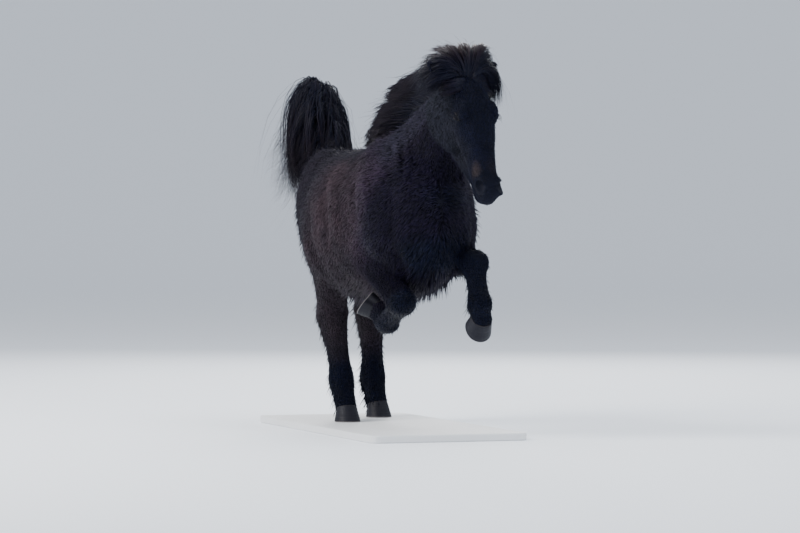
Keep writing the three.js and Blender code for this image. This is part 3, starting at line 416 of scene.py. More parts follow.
def toSkin(points):
    whole, share = toCoatTips(points)
    depth = sum(share[name] * coatDepth[name] * mm for name in share)
    d = whole + depth
    close = np.flatnonzero(np.abs(d) < 0.05)
    if len(close):
        d[close] -= sum(crossedBy(crease, points[close]) for crease in creases)
    near = np.flatnonzero(((points - headPoint(*nearHead["centre"])) ** 2).sum(1) < nearHead["reach"] ** 2)
    if len(near):
        p, h = points[near], d[near]
        for s in bothSides:
            h = soft(h, toEar(p, s), blend["ear"])
            q = (p - eyeCentre(s)) / mm
            u, v, out = q @ eyeLong, q @ eyeHigh, q @ (headSide * s)
            radius = np.sqrt((q**2).sum(1))
            slit = (np.hypot(u / eye["slit"][0], (v + eye["bow"] * u * u) / eye["slit"][1]) - 1) * eye["slit"][1]
            lid = np.maximum(radius - eye["lid"], np.maximum(-slit, -out)) * mm
            h = soft(h, lid, blend["lid"])
            h = np.maximum(h, -(np.maximum(slit - 1, 4 - out)) * mm)
            h = np.maximum(h, (eye["radius"] + 0.4 - radius) * mm)
        for rim, hole in nostrils:
            h = soft(h, toOvoid(rim, p), blend["nostril"])
            h = -soft(-h, toOvoid(hole, p), blend["hole"])
        q = (p - headPoint(*mouth["place"])) / mm
        down, out, aside = q @ headDown, q @ headFace, q @ headSide
        (reach, half), (inReach, inHalf) = mouth["round"], mouth["within"]
        line = np.abs(out - mouth["bow"] * down * down) - mouth["gap"]
        line = np.maximum(line, np.hypot(down / reach, aside / half) * 60 - 60) * mm
        within = np.maximum(np.hypot(down / inReach, aside / inHalf) * 60 - 60, np.abs(out) - mouth["tall"]) * mm
        h = -soft(-h, np.maximum(line, -within - mouth["depth"] * mm), blend["mouth"])
        d[near] = h
    return d


# A net over the surface, with one point in each cell that the surface crosses.
skinNet = {
    "cell": 12.2, "low": (860, 40, -340), "high": (-1215, 1680, 340),
    "headCell": 5.2, "headLow": (860, 940, -75), "headHigh": (400, 1680, 255),
}


def cuts(low, high, fineLow, fineHigh, coarse, fine):
    places = [low]
    while places[-1] < high:
        x = places[-1]
        places.append(x + (fine if fineLow - coarse / 2 < x < fineHigh else coarse))
    return np.array(places)


def surfaceNet(distance, axes, block=4):
    counts = [-(-(len(a) - 1) // block) * block for a in axes]
    more = [a[-1] + (a[-1] - a[-2]) * np.arange(1, n + 2 - len(a)) for a, n in zip(axes, counts)]
    axes = [np.concatenate(pair) for pair in zip(axes, more)]
    coarse = [a[::block] for a in axes]
    middles = [(a[1:] + a[:-1]) / 2 for a in coarse]
    halves = [(a[1:] - a[:-1]) / 2 for a in coarse]
    grid = np.stack(np.meshgrid(*middles, indexing="ij"), -1).reshape(-1, 3)
    reach = np.sqrt(sum(h**2 for h in np.meshgrid(*halves, indexing="ij"))).ravel()
    rough = np.concatenate([distance(grid[part]) for part in inSections(len(grid))])
    shape = [len(m) for m in middles]
    value = np.ones([len(a) for a in axes], np.float32)
    inner = rough.reshape(shape) < 0
    for axis in range(3):
        inner = np.repeat(inner, block, axis)
    value[:-1, :-1, :-1] = np.where(inner, -1, 1)
    near = np.argwhere((np.abs(rough) < reach * 1.25 + 0.012).reshape(shape))
    steps = np.stack(np.meshgrid(*[np.arange(block + 1)] * 3, indexing="ij"), -1).reshape(-1, 3)
    index = (near[:, None, :] * block + steps[None]).reshape(-1, 3)
    flat = np.unique(np.ravel_multi_index(index.T, value.shape))
    index = np.stack(np.unravel_index(flat, value.shape), -1)
    points = np.stack([axes[k][index[:, k]] for k in range(3)], -1)
    value.ravel()[flat] = np.concatenate([distance(points[part]) for part in inSections(len(points))])
    solid = value < 0
    cells = [n - 1 for n in value.shape]
    sums = np.zeros((int(np.prod(cells)), 3))
    tally = np.zeros(len(sums))
    faces = []
    for k in range(3):
        u, v = (k + 1) % 3, (k + 2) % 3
        first = [slice(None)] * 3
        second = [slice(None)] * 3
        first[k], second[k] = slice(0, -1), slice(1, None)
        crossing = np.argwhere(solid[tuple(first)] != solid[tuple(second)])
        inGrid = (crossing[:, [u, v]] > 0) & (crossing[:, [u, v]] < [cells[u], cells[v]])
        crossing = crossing[inGrid.all(1)]
        step = np.zeros(3, int)
        step[k] = 1
        a = value[tuple(crossing.T)]
        b = value[tuple((crossing + step).T)]
        t = a / (a - b)
        place = np.stack([axes[j][crossing[:, j]] for j in range(3)], -1)
        place[:, k] += t * (axes[k][crossing[:, k] + 1] - axes[k][crossing[:, k]])
        corners = []
        for du, dv in ((-1, -1), (0, -1), (0, 0), (-1, 0)):
            cell = crossing.copy()
            cell[:, u] += du
            cell[:, v] += dv
            which = np.ravel_multi_index(cell.T, cells)
            corners.append(which)
            np.add.at(sums, which, place)
            np.add.at(tally, which, 1)
        quad = np.stack(corners, -1)
        outward = solid[tuple(crossing.T)]
        faces.append(np.where(outward[:, None], quad, quad[:, ::-1]))
    faces = np.concatenate(faces)
    used = np.flatnonzero(tally)
    number = np.full(len(tally), -1)
    number[used] = np.arange(len(used))
    return sums[used] / tally[used, None], number[faces]


def settle(distance, points, rounds=2, most=0.0025):
    for _ in range(rounds):
        for part in inSections(len(points)):
            p = points[part]
            d = distance(p)
            h = 0.0012
            slope = np.stack([(distance(p + np.eye(3)[k] * h) - d) / h for k in range(3)], -1)
            move = np.clip(d, -most, most) / np.maximum((slope**2).sum(1), 0.3)
            points[part] = p - slope * move[:, None]
    return points


def meshFrom(name, points, faces):
    mesh = bpy.data.meshes.new(name)
    faces = np.asarray(faces)
    mesh.vertices.add(len(points))
    mesh.vertices.foreach_set("co", np.asarray(points, np.float32).ravel())
    mesh.loops.add(faces.size)
    mesh.loops.foreach_set("vertex_index", faces.ravel().astype(np.int32))
    mesh.polygons.add(len(faces))
    mesh.polygons.foreach_set("loop_start", np.arange(0, faces.size, faces.shape[1], dtype=np.int32))
    mesh.update(calc_edges=True)
    mesh.polygons.foreach_set("use_smooth", np.ones(len(faces), bool))
    mesh.validate()
    made = bpy.data.objects.new(name, mesh)
    bpy.context.scene.collection.objects.link(made)
    return made


def makeSkin():
    low, high, fineLow, fineHigh = [at(*skinNet[key]) for key in ("low", "high", "headLow", "headHigh")]
    size, fine = skinNet["cell"] * mm, skinNet["headCell"] * mm
    axes = [cuts(low[k], high[k], fineLow[k], fineHigh[k], size, fine) for k in range(3)]
    points, faces = surfaceNet(toSkin, axes)
    points = settle(toSkin, points)
    return meshFrom("skin", points, faces)


skin = makeSkin()
print("stage: skin", len(skin.data.vertices), "points", len(skin.data.polygons), "faces")
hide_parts("torso", "neck", "head", "ear_left", "ear_right", "foreleg_left", "foreleg_right", "hindleg_left", "hindleg_right")
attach(skin, "root")


# The lie, length and unwrap of the coat, kept on the skin.
def alongAxis(shapes, points):
    # The nearest stretch of a part's axis: how far along it, the angle round it and its direction.
    starts, alongs, lengths, acrosses, fronts = [
        np.concatenate([shape[key] for shape in shapes]) for key in ("start", "along", "length", "across", "front")]
    starts = starts[:, :3]
    travelled = np.concatenate([[0], np.cumsum(lengths)])
    best = np.full(len(points), 9.0)
    which, place = np.zeros(len(points), int), np.zeros(len(points))
    for k in range(len(lengths)):
        q = points - starts[k]
        run = np.clip(q @ alongs[k], 0, lengths[k])
        d = ((q - run[:, None] * alongs[k]) ** 2).sum(1)
        use = d < best
        best[use], which[use], place[use] = d[use], k, (travelled[k] + run[use])
    q = points - starts[which]
    angle = np.arctan2((q * acrosses[which]).sum(1), (q * fronts[which]).sum(1))
    return place / travelled[-1], angle / (2 * math.pi) + 0.5, alongs[which]


def waves(points, scale, seed):
    # A smooth random field made of a few sines.
    rng = np.random.default_rng(seed)
    total = np.zeros(len(points))
    for k in range(6):
        total += np.sin(points @ rng.normal(0, scale, 3) + rng.uniform(0, 6.28))
    return total / 2.4


coatLook = {
    "trunk": {"length": 27, "thickness": 1.0}, "neck": {"length": 27, "thickness": 1.1},
    "head": {"length": 8.5, "thickness": 2.9}, "leg": {"length": 15, "thickness": 2.1},
    "bellyFringe": 26, "beard": 26, "feather": 30, "breastFringe": 6, "shortest": 5, "longest": 70,
    "dockThinner": 1.2, "cuts": (20, -330, -640),
}
bare = {"eyeOut": 4, "eyeRadius": 23, "eyeEdge": 7, "nostril": (498, -7, 56), "nostrilHalves": (36, 18.5, 24)}
# Each part's place in the unwrap: corner, width and height.
atlas = {
    "trunk": (0.01, 0.01, 0.58, 0.58), "neck": (0.61, 0.01, 0.38, 0.34), "head": (0.61, 0.37, 0.38, 0.38),
    "hindleft": (0.01, 0.62, 0.14, 0.36), "hindright": (0.16, 0.62, 0.14, 0.36),
    "foreleft": (0.31, 0.62, 0.14, 0.36), "foreright": (0.46, 0.62, 0.14, 0.36), "dock": (0.61, 0.77, 0.2, 0.21),
}


def setValues(mesh, name, values, kind="FLOAT", domain="POINT"):
    layer = mesh.attributes.new(name, kind, domain).data
    values = np.asarray(values, np.int32 if kind == "INT" else np.float32).ravel()
    layer.foreach_set("vector" if kind == "FLOAT_VECTOR" else "value", values)


def ramped(value):
    return np.clip(value, 0, 1)


def describeSkin(skin):
    mesh = skin.data
    count = len(mesh.vertices)
    points = np.empty(count * 3, np.float32)
    mesh.vertices.foreach_get("co", points)
    points = points.reshape(-1, 3).astype(float)
    normals = np.array([tuple(n.vector) for n in mesh.vertex_normals])
    trunk, neck, skull, legs = bodyParts(points)
    parts = {"trunk": trunk, "neck": neck, "head": skull, **legs}
    share = shares(parts, blend["coatShare"])
    forward = baseSizes["centreForward"] - points[:, 1] / mm
    up, left = points[:, 2] / mm - baseSizes["top"], points[:, 0] / mm
    axes = {"trunk": [trunkShape], "neck": [neckShape], "head": [skullShape], **legShapes}
    placed = {name: alongAxis(axes[name], points) for name in axes}
    flank = ramped(np.abs(left) / 240)[:, None]
    back, down = np.array([0, 1.0, 0]), np.array([0, 0, -1.0])
    rump = ramped((-forward - 700) / 250)[:, None]
    lies = {name: placed[name][2] + down * 0.15 for name in legShapes}
    lies["trunk"] = back * (1 - 0.55 * rump) + down * (0.2 + 0.75 * flank + 0.9 * rump)
    lies["trunk"] = lies["trunk"] + np.outer(np.sign(left) * 0.15, leftward)
    lies["neck"] = back * 0.75 + down * 0.8
    lies["head"] = headDown + headFace * -0.3 + np.outer(((points - headPoint(200, 0)) @ headSide) * 2.5, headSide)
    lie = sum(share[name][:, None] * lies[name] for name in share)
    swirl = 0.2 * waves(points, 6, 5) + 0.1 * waves(points, 24, 6)
    lie = unit(lie - normals * (lie * normals).sum(1)[:, None])
    lie = unit(lie + np.cross(normals, lie) * swirl[:, None])

    byKind = {"trunk": share["trunk"], "neck": share["neck"], "head": share["head"],
              "leg": sum(share[name] for name in legShapes)}
    length, thickness = [
        sum(w * coatLook[kind][key] for kind, w in byKind.items()) for key in ("length", "thickness")]
    thickness = thickness - share["dock"] * coatLook["dockThinner"]
    below = ramped(-normals[:, 2] * 1.6 - 0.25)
    belly = below * share["trunk"] * ramped((780 - up) / 140)
    belly = belly * ramped((210 - np.abs(left)) / 70) * ramped((forward + 520) / 120)
    length += coatLook["bellyFringe"] * belly
    breast = ramped((normals @ towards(1, -0.25)) * 1.5 - 0.3) * (share["trunk"] + share["neck"])
    length += coatLook["breastFringe"] * (breast * ramped((forward - 100) / 180))
    inHead = (points - headPoint(0, 0)) / mm
    headLow = ramped(-(inHead @ headFace) / 40 - 2.6) * ramped((normals @ -headFace) * 2)
    headLow = headLow * ramped(1.35 - (inHead @ headDown) / 400)
    length += coatLook["beard"] * headLow * share["head"]
    fringe = 0.65 * belly + 0.5 * headLow * share["head"]
    for name in legShapes:
        # The feather grows behind each leg, with little of it on the folded one.
        if name == "foreright":
            rear = ramped((normals @ unit([0, -0.2, -1.0])) * 1.8 - 0.6) * 0.12
        else:
            rear = ramped((normals @ unit([0, 1.0, -0.35])) * 1.8 - 0.4)
        run = placed[name][0]
        tufted = 0.4 + np.exp(-((run - 0.86) / 0.09) ** 2) + 0.7 * np.exp(-((run - 0.42) / 0.2) ** 2)
        tall = share[name] * rear * ramped(tufted)
        length += coatLook["feather"] * tall
        fringe += 0.75 * tall
    throat = np.exp(-(np.linalg.norm(points - headPoint(210, -235), axis=1) / 0.17) ** 2)
    length *= (1 + 0.16 * waves(points, 16, 8)) * (1 - 0.45 * throat * share["neck"])
    muzzle = ramped(((inHead @ headDown) - 420) / 60) * share["head"]
    length = np.where(share["head"] > 0.4, length * (1 - 0.45 * muzzle), length)
    # Bare places: the eye with its lids, and the nostrils.
    clear = np.ones(count)
    headAxes = np.array([headDown, headFace, headSide]).T
    for s in bothSides:
        fromEye = points - headPoint(eye["down"], eye["face"], s * (eye["side"] + bare["eyeOut"]))
        clear *= ramped((np.linalg.norm(fromEye, axis=1) / mm - bare["eyeRadius"]) / bare["eyeEdge"])
        down, face, side = bare["nostril"]
        fromNostril = (points - headPoint(down, face, s * side)) @ headAxes / mm / bare["nostrilHalves"]
        clear *= ramped((np.linalg.norm(fromNostril, axis=1) - 0.95) / 0.3)
    thickness *= clear

    setValues(mesh, "lie", lie, "FLOAT_VECTOR")
    setValues(mesh, "fringe", ramped(fringe))
    setValues(mesh, "coatLength", np.clip(length, coatLook["shortest"], coatLook["longest"]) * mm)
    setValues(mesh, "thickness", thickness)

    corners = np.empty(len(mesh.loops), np.int32)
    mesh.loops.foreach_get("vertex_index", corners)
    quads = corners.reshape(-1, 4)
    names = list(atlas)
    label = np.stack([parts[name] for name in names]).argmin(0)
    faceLabel = np.sort(label[quads], 1)[:, 1]
    u = np.stack([placed[name][1] for name in names])[faceLabel[:, None], quads]
    v = np.stack([placed[name][0] for name in names])[faceLabel[:, None], quads]
    turn = u[:, :1]
    u = u - np.round(u - turn)
    u = np.clip(u, -0.03, 1.03) * 0.94 + 0.03
    rect = np.array([atlas[name] for name in names])[faceLabel]
    uv = np.stack([rect[:, :1] + rect[:, 2:3] * u, rect[:, 1:2] + rect[:, 3:4] * v], -1)
    mesh.uv_layers.new(name="OFBake").data.foreach_set("uv", uv.astype(np.float32).ravel())

    centres = points[quads].mean(1)
    faceForward, faceLeft = baseSizes["centreForward"] - centres[:, 1] / mm, centres[:, 0]
    # The trunk's pieces from front to back, then neck, head, legs and dock, each numbered as in the list below.
    stretch = np.select([faceForward > cut for cut in coatLook["cuts"]], [0, 2, 4], 6)
    region = np.where(faceLabel == 0, stretch + (faceLeft > 0), 0)
    region = np.where(faceLabel == 1, 8 + (((centres - at(320, 0, 25)) @ headSide) > 0), region)
    region = np.where(faceLabel == 2, 10 + ((centres - headPoint(0, 0)) @ headSide > 0), region)
    region = np.where(faceLabel > 2, 9 + faceLabel, region)
    setValues(mesh, "region", region, "INT", "FACE")
    return points


regions = [part + s for part in ("shoulder", "barrel", "loin", "rump", "neck", "head") for s in ("Right", "Left")]
regions += [part + s for part in ("hindLeg", "foreLeg") for s in ("Left", "Right")] + ["tailDock"]
skinPoints = describeSkin(skin)
print("stage: lie of the coat")


# Helpers for node trees.
def put(tree, kind, inputs=None, **settings):
    # Adds a node, sets its properties and gives its inputs a value or a link.
    node = tree.nodes.new(kind)
    for key, value in settings.items():
        setattr(node, key, value)
    for key, value in (inputs or {}).items():
        socket = node.inputs[key]
        if isinstance(value, bpy.types.NodeSocket):
            tree.links.new(value, socket)
        else:
            socket.default_value = value
    return node


def geometryTree(name, sockets):
    tree = bpy.data.node_groups.new(name, "GeometryNodeTree")
    tree.interface.new_socket("Geometry", in_out="OUTPUT", socket_type="NodeSocketGeometry")
    tree.interface.new_socket("Geometry", in_out="INPUT", socket_type="NodeSocketGeometry")
    for label, kind, default in sockets:
        socket = tree.interface.new_socket(label, in_out="INPUT", socket_type=kind)
        if default is not None:
            socket.default_value = default
    return tree, tree.nodes.new("NodeGroupInput").outputs, tree.nodes.new("NodeGroupOutput").inputs


def madeBy(tree, carrier, name, values):
    # Runs a node tree on an object and keeps the result as a plain mesh.
    modifier = carrier.modifiers.new(name, "NODES")
    modifier.node_group = tree
    items = [item for item in tree.interface.items_tree if item.item_type == "SOCKET" and item.in_out == "INPUT"]
    sockets = {item.name: item.identifier for item in items}
    for label, value in values.items():
        modifier[sockets[label]] = value
    graph = bpy.context.evaluated_depsgraph_get()
    graph.update()
    done = carrier.evaluated_get(graph)
    mesh = bpy.data.meshes.new_from_object(done, preserve_all_data_layers=True, depsgraph=graph)
    carrier.modifiers.remove(modifier)
    mesh.name = name
    made = bpy.data.objects.new(name, mesh)
    bpy.context.scene.collection.objects.link(made)
    return made


def named(tree, name, kind="FLOAT"):
    return put(tree, "GeometryNodeInputNamedAttribute", {"Name": name}, data_type=kind).outputs["Attribute"]


def math2(tree, operation, a, b=0.0):
    return put(tree, "ShaderNodeMath", {0: a, 1: b}, operation=operation).outputs[0]


def times(tree, a, b):
    return math2(tree, "MULTIPLY", a, b)


def plus(tree, a, b):
    return math2(tree, "ADD", a, b)


def minus(tree, a, b):
    return math2(tree, "SUBTRACT", a, b)


def vectors(tree, operation, a, b=None, scale=None):
    inputs = {0: a}
    if b is not None:
        inputs[1] = b
    if scale is not None:
        inputs["Scale"] = scale
    return put(tree, "ShaderNodeVectorMath", inputs, operation=operation).outputs[0]


def joined(tree, x, y, z=0.0):
    return put(tree, "ShaderNodeCombineXYZ", {"X": x, "Y": y, "Z": z}).outputs[0]


def chance(tree, low, high, seed):
    return put(tree, "FunctionNodeRandomValue", {2: low, 3: high, "Seed": seed}, data_type="FLOAT").outputs[1]


def keep(tree, geometry, name, value, kind="FLOAT", domain="POINT"):
    node = put(tree, "GeometryNodeStoreNamedAttribute", {"Geometry": geometry, "Name": name, "Value": value},
               data_type=kind, domain=domain)
    return node.outputs["Geometry"]


def coloured(tree, geometry, material):
    return put(tree, "GeometryNodeSetMaterial", {"Geometry": geometry, "Material": material}).outputs[0]


bakePatch = 0.003  # the size of a tuft's or lock's patch on the unwrap


def patchOf(tree, geometry, root, side, along):
    # Every tuft and lock has a small patch of its own on the unwrap, at its root.
    offset = joined(tree, times(tree, side, bakePatch), times(tree, along, bakePatch))
    return keep(tree, geometry, "OFBake", vectors(tree, "ADD", root, offset), "FLOAT2", "CORNER")


# Materials.
def shaderGroup(name, inputs, outputs):
    group = bpy.data.node_groups.new(name, "ShaderNodeTree")
    for label, kind in outputs:
        group.interface.new_socket(label, in_out="OUTPUT", socket_type=kind)
    for label, kind in inputs:
        group.interface.new_socket(label, in_out="INPUT", socket_type=kind)
    return group, group.nodes.new("NodeGroupInput").outputs, group.nodes.new("NodeGroupOutput").inputs


def ramp(tree, value, low, high, toLow=0.0, toHigh=1.0):
    limits = {"Value": value, "From Min": low, "From Max": high, "To Min": toLow, "To Max": toHigh}
    return put(tree, "ShaderNodeMapRange", limits, interpolation_type="SMOOTHSTEP").outputs["Result"]


def stretched(tree, vector, scale):
    return put(tree, "ShaderNodeMapping", {"Vector": vector, "Scale": scale}).outputs[0]


def ahead(tree, vector, origin, direction):
    # How far a point lies ahead of an origin, in a direction.
    offset = vectors(tree, "SUBTRACT", vector, tuple(origin))
    node = put(tree, "ShaderNodeVectorMath", {0: offset, 1: tuple(direction)}, operation="DOT_PRODUCT")
    return node.outputs["Value"]


def noise(tree, vector, scale, detail=3.0, rough=0.55):
    look = {"Vector": vector, "Scale": scale, "Detail": detail, "Roughness": rough}
    return put(tree, "ShaderNodeTexNoise", look).outputs["Fac"]


def mixed(tree, share, a, b, blend="MIX"):
    node = put(tree, "ShaderNodeMix", data_type="RGBA", blend_type=blend)
    for index, value in ((0, share), (6, a), (7, b)):
        if isinstance(value, bpy.types.NodeSocket):
            tree.links.new(value, node.inputs[index])
        elif index:
            node.inputs[index].default_value = (*value, 1)
        else:
            node.inputs[0].default_value = value
    return node.outputs[2]


def near(tree, vector, point, reach, core=0.0):
    distance = put(tree, "ShaderNodeVectorMath", {0: vector, 1: tuple(point)}, operation="DISTANCE").outputs["Value"]
    return ramp(tree, distance, core, reach, 1.0, 0.0)


horseColours = {
    "back": (0.0075, 0.0068, 0.0125), "flank": (0.036, 0.025, 0.0325), "rump": (0.0115, 0.0096, 0.0165),
    # belly: partly the coat's own paler tone, partly painted light lifting the shade under the body and on the gaskins
    "belly": (0.025, 0.0195, 0.0265), "neck": (0.015, 0.014, 0.027), "shoulder": (0.021, 0.012, 0.028),
    # breast: partly the coat's own black, partly painted shade on the breast and the throat under the jaw
    "breast": (0.0042, 0.003, 0.012), "face": (0.0036, 0.005, 0.016), "cheek": (0.014, 0.0155, 0.025),
    "legs": (0.0016, 0.0032, 0.013), "mealy": (0.055, 0.042, 0.042),
}


def makeMarkings():
    # The horse's markings, the same on skin and coat, with some painted shade and light in them: the dark breast and
    # throat are partly painted shade, the paler belly partly painted light.
    tree, given, result = shaderGroup("markings", [("Position", "NodeSocketVector")], [("Color", "NodeSocketColor")])
    place = given["Position"]
    wobble = put(tree, "ShaderNodeTexNoise", {"Vector": place, "Scale": 5.0, "Detail": 3.0}).outputs["Color"]
    wobble = vectors(tree, "SUBTRACT", wobble, (0.5, 0.5, 0.5))
    moved = vectors(tree, "ADD", place, vectors(tree, "SCALE", wobble, scale=0.13))
    xyz = put(tree, "ShaderNodeSeparateXYZ", {0: moved}).outputs
    x, y, z = xyz["X"], xyz["Y"], xyz["Z"]
    aside = math2(tree, "ABSOLUTE", x)

    def beyond(origin, direction, low, high):
        return ramp(tree, ahead(tree, moved, origin, direction), low, high)

    def spot(point, reach, core):
        return near(tree, moved, point, reach, core)

    inHead = spot(headPoint(230, -40), 0.42, 0.27)
    # Above the jaw line the head's own colour; below it the throat keeps the breast's colour, which is partly painted
    # shade.
    jawLine = ahead(tree, place, headPoint(105, -232), headFace * 0.96 - headDown * 0.282)
    lowBehind = plus(tree, z, ramp(tree, y, 0.1, 0.3, 0.0, 0.2))
    colour = mixed(tree, ramp(tree, aside, 0.1, 0.25), horseColours["back"], horseColours["flank"])
    for mask, name in (
            (beyond(at(-300, 1000), towards(-1, 0.5), -0.06, 0.34), "rump"),
            (ramp(tree, z, 1.16, 1.25), "back"),
            # The belly and gaskins: partly their own paler tone, partly painted light in the shade under the body.
            (ramp(tree, z, 0.86, 0.7), "belly"),
            (beyond(at(30, 900), towards(1, -0.1), -0.14, 0.24), "shoulder"),
            (times(tree, beyond(at(180, 1120), towards(0.8, 0.6), -0.04, 0.1),
                   beyond(at(330, 1240), towards(-0.646, 0.763), -0.08, 0.02)), "neck"),
            # The breast and the throat under the jaw: partly their own black, partly painted shade.
            (times(tree, beyond(at(180, 1050), towards(0.95, -0.3), -0.02, 0.11),
                   beyond(at(330, 1240), towards(0.646, -0.763), -0.03, 0.07)), "breast"),
            (times(tree, inHead, ramp(tree, jawLine, -0.012, 0.012)), "cheek"),
            (times(tree, inHead, beyond(headPoint(0, -62), headFace, -0.01, 0.05)), "face"),
            (times(tree, inHead, beyond(headPoint(385, 0), headDown, -0.05, 0.06)), "face"),
            (times(tree, spot(headPoint(418, -4, -46), 0.052, 0.012), 0.8), "mealy"),
            (times(tree, spot(headPoint(418, -4, 46), 0.042, 0.008), 0.15), "mealy"),
            (ramp(tree, lowBehind, 0.64, 0.46), "legs"),
            (times(tree, beyond(at(330, 800), towards(1, -0.15), 0.0, 0.08), ramp(tree, z, 0.9, 0.8)), "legs")):
        colour = mixed(tree, mask, colour, horseColours[name])
    patch = noise(tree, place, 9.0, 4.0)
    red, green, blue = [
        ramp(tree, patch, 0.3, 0.75, low, high) for low, high in ((0.74, 1.3), (0.77, 1.24), (0.8, 1.2))]
    shade = put(tree, "ShaderNodeCombineColor", {"Red": red, "Green": green, "Blue": blue}).outputs[0]
    tree.links.new(mixed(tree, 1.0, colour, shade, "MULTIPLY"), result["Color"])
    return tree


def newMaterial(name, roughness=0.6, **sockets):
    material = bpy.data.materials.new(name)
    material.use_nodes = True
    tree = material.node_tree
    shader = tree.nodes["Principled BSDF"]
    shader.inputs["Roughness"].default_value = roughness
    for key, value in sockets.items():
        shader.inputs[key.replace("_", " ")].default_value = value
    place = tree.nodes.new("ShaderNodeTexCoord").outputs["Object"]
    return material, tree, shader, place


def attribute(tree, name):
    return put(tree, "ShaderNodeAttribute", attribute_name=name).outputs["Fac"]


def bump(tree, shader, height, strength=0.4, distance=0.002):
    node = put(tree, "ShaderNodeBump", {"Height": height, "Strength": strength, "Distance": distance})
    tree.links.new(node.outputs[0], shader.inputs["Normal"])


markings = makeMarkings()


def marked(tree, place):
    group = tree.nodes.new("ShaderNodeGroup")
    group.node_tree = markings
    tree.links.new(place, group.inputs["Position"])
    return group.outputs["Color"]


def makeSkinMaterial():
    material, tree, shader, place = newMaterial("skinUnderCoat", 0.8, Specular_IOR_Level=0.2)
    fine = noise(tree, stretched(tree, place, (260, 60, 260)), 1.0, 4.0)
    shade = mixed(tree, fine, (0.35, 0.35, 0.35), (0.95, 0.92, 0.92))
    colour = mixed(tree, 1.0, marked(tree, place), shade, "MULTIPLY")
    tree.links.new(colour, shader.inputs["Base Color"])
    bump(tree, shader, fine, 0.5, 0.003)
    return material


def makeCoatMaterial(name, gain=1.0, roughness=0.55):
    # Tufts are darker at the root and a little sun-bleached at the tip, and no two are quite the same.
    material, tree, shader, place = newMaterial(name, roughness, Specular_IOR_Level=0.11)
    tone, along = attribute(tree, "tone"), attribute(tree, "along")
    base = marked(tree, place)
    ownTone = ramp(tree, tone, 0.0, 1.0, 0.66 * gain, 1.42 * gain)
    level = times(tree, ramp(tree, along, 0.0, 0.9, 0.55, 1.25), ownTone)
    channels = {"Red": level, "Green": times(tree, level, 0.98), "Blue": times(tree, level, 0.97)}
    shade = put(tree, "ShaderNodeCombineColor", channels).outputs[0]
    colour = mixed(tree, 1.0, base, shade, "MULTIPLY")
    faded = times(tree, ramp(tree, tone, 0.8, 1.0), ramp(tree, along, 0.3, 1.0, 0.0, 0.11))
    colour = mixed(tree, faded, colour, (0.075, 0.046, 0.040))
    tree.links.new(colour, shader.inputs["Base Color"])
    return material


hairColours = {"deep": (0.0011, 0.002, 0.0095), "black": (0.0026, 0.0036, 0.014), "brown": (0.008, 0.0056, 0.0115),
               "bleached": (0.058, 0.033, 0.03), "pale": (0.13, 0.09, 0.075)}


def makeHairMaterial(name, bleach):
    material, tree, shader, place = newMaterial(name, 0.35, Specular_IOR_Level=0.14)
    tone, along, sun = attribute(tree, "tone"), attribute(tree, "along"), attribute(tree, "sun")
    c = hairColours
    colour = mixed(tree, tone, c["deep"], c["black"])
    colour = mixed(tree, times(tree, ramp(tree, tone, 0.55, 0.95), 0.6), colour, c["brown"])
    faded = times(tree, times(tree, ramp(tree, along, 0.25, 1.0), sun), bleach)
    colour = mixed(tree, faded, colour, c["bleached"])
    palest = times(tree, ramp(tree, faded, 0.55, 1.0), ramp(tree, tone, 0.4, 0.9))
    colour = mixed(tree, palest, colour, c["pale"])
    streak = noise(tree, stretched(tree, place, (420, 420, 90)), 1.0, 2.0)
    colour = mixed(tree, 1.0, colour, mixed(tree, streak, (0.65, 0.65, 0.65), (1.25, 1.22, 1.2)), "MULTIPLY")
    tree.links.new(colour, shader.inputs["Base Color"])
    return material


def makeHoofMaterial():
    material, tree, shader, place = newMaterial("horn", 0.5, Specular_IOR_Level=0.2)
    height, turn = attribute(tree, "height"), attribute(tree, "round")
    rings = noise(tree, joined(tree, times(tree, height, 26.0), times(tree, turn, 1.5)), 1.0, 3.0)
    streaks = noise(tree, joined(tree, times(tree, turn, 34.0), times(tree, height, 1.2), 2.0), 1.0, 3.0)
    colour = mixed(tree, streaks, (0.0035, 0.004, 0.0085), (0.013, 0.0125, 0.018))
    under = ramp(tree, height, -0.03, -0.14)
    sole = mixed(tree, noise(tree, place, 90.0), (0.020, 0.018, 0.018), (0.060, 0.053, 0.050))
    colour = mixed(tree, under, colour, sole)
    worn = plus(tree, ramp(tree, height, 0.11, 0.0), times(tree, minus(tree, streaks, 0.5), 0.9))
    wornWall = times(tree, ramp(tree, worn, 0.3, 0.85, 0.0, 0.8), minus(tree, 1.0, under))
    colour = mixed(tree, wornWall, colour, (0.19, 0.175, 0.175))
    colour = mixed(tree, times(tree, ramp(tree, height, 0.9, 1.0), 0.6), colour, (0.02, 0.018, 0.02))
    tree.links.new(colour, shader.inputs["Base Color"])
    tree.links.new(ramp(tree, rings, 0.3, 0.7, 0.42, 0.7), shader.inputs["Roughness"])
    bump(tree, shader, plus(tree, rings, times(tree, streaks, 0.5)), 0.55, 0.0018)
    return material


def makeEyeMaterial():
    material, tree, shader, place = newMaterial("wetEye", 0.08, Specular_IOR_Level=0.3, IOR=1.22)
    ring, lid = attribute(tree, "iris"), attribute(tree, "rim")
    fleck = noise(tree, stretched(tree, place, (300, 300, 300)), 1.0, 4.0)
    iris = mixed(tree, fleck, (0.004, 0.0024, 0.002), (0.015, 0.0075, 0.005))
    colour = mixed(tree, ramp(tree, ring, 0.42, 0.36), iris, (0.003, 0.003, 0.005))
    colour = mixed(tree, ramp(tree, lid, 0.86, 1.0), colour, (0.012, 0.009, 0.009))
    colour = mixed(tree, ramp(tree, lid, 1.22, 1.36), colour, (0.012, 0.009, 0.009))
    tree.links.new(colour, shader.inputs["Base Color"])
    return material


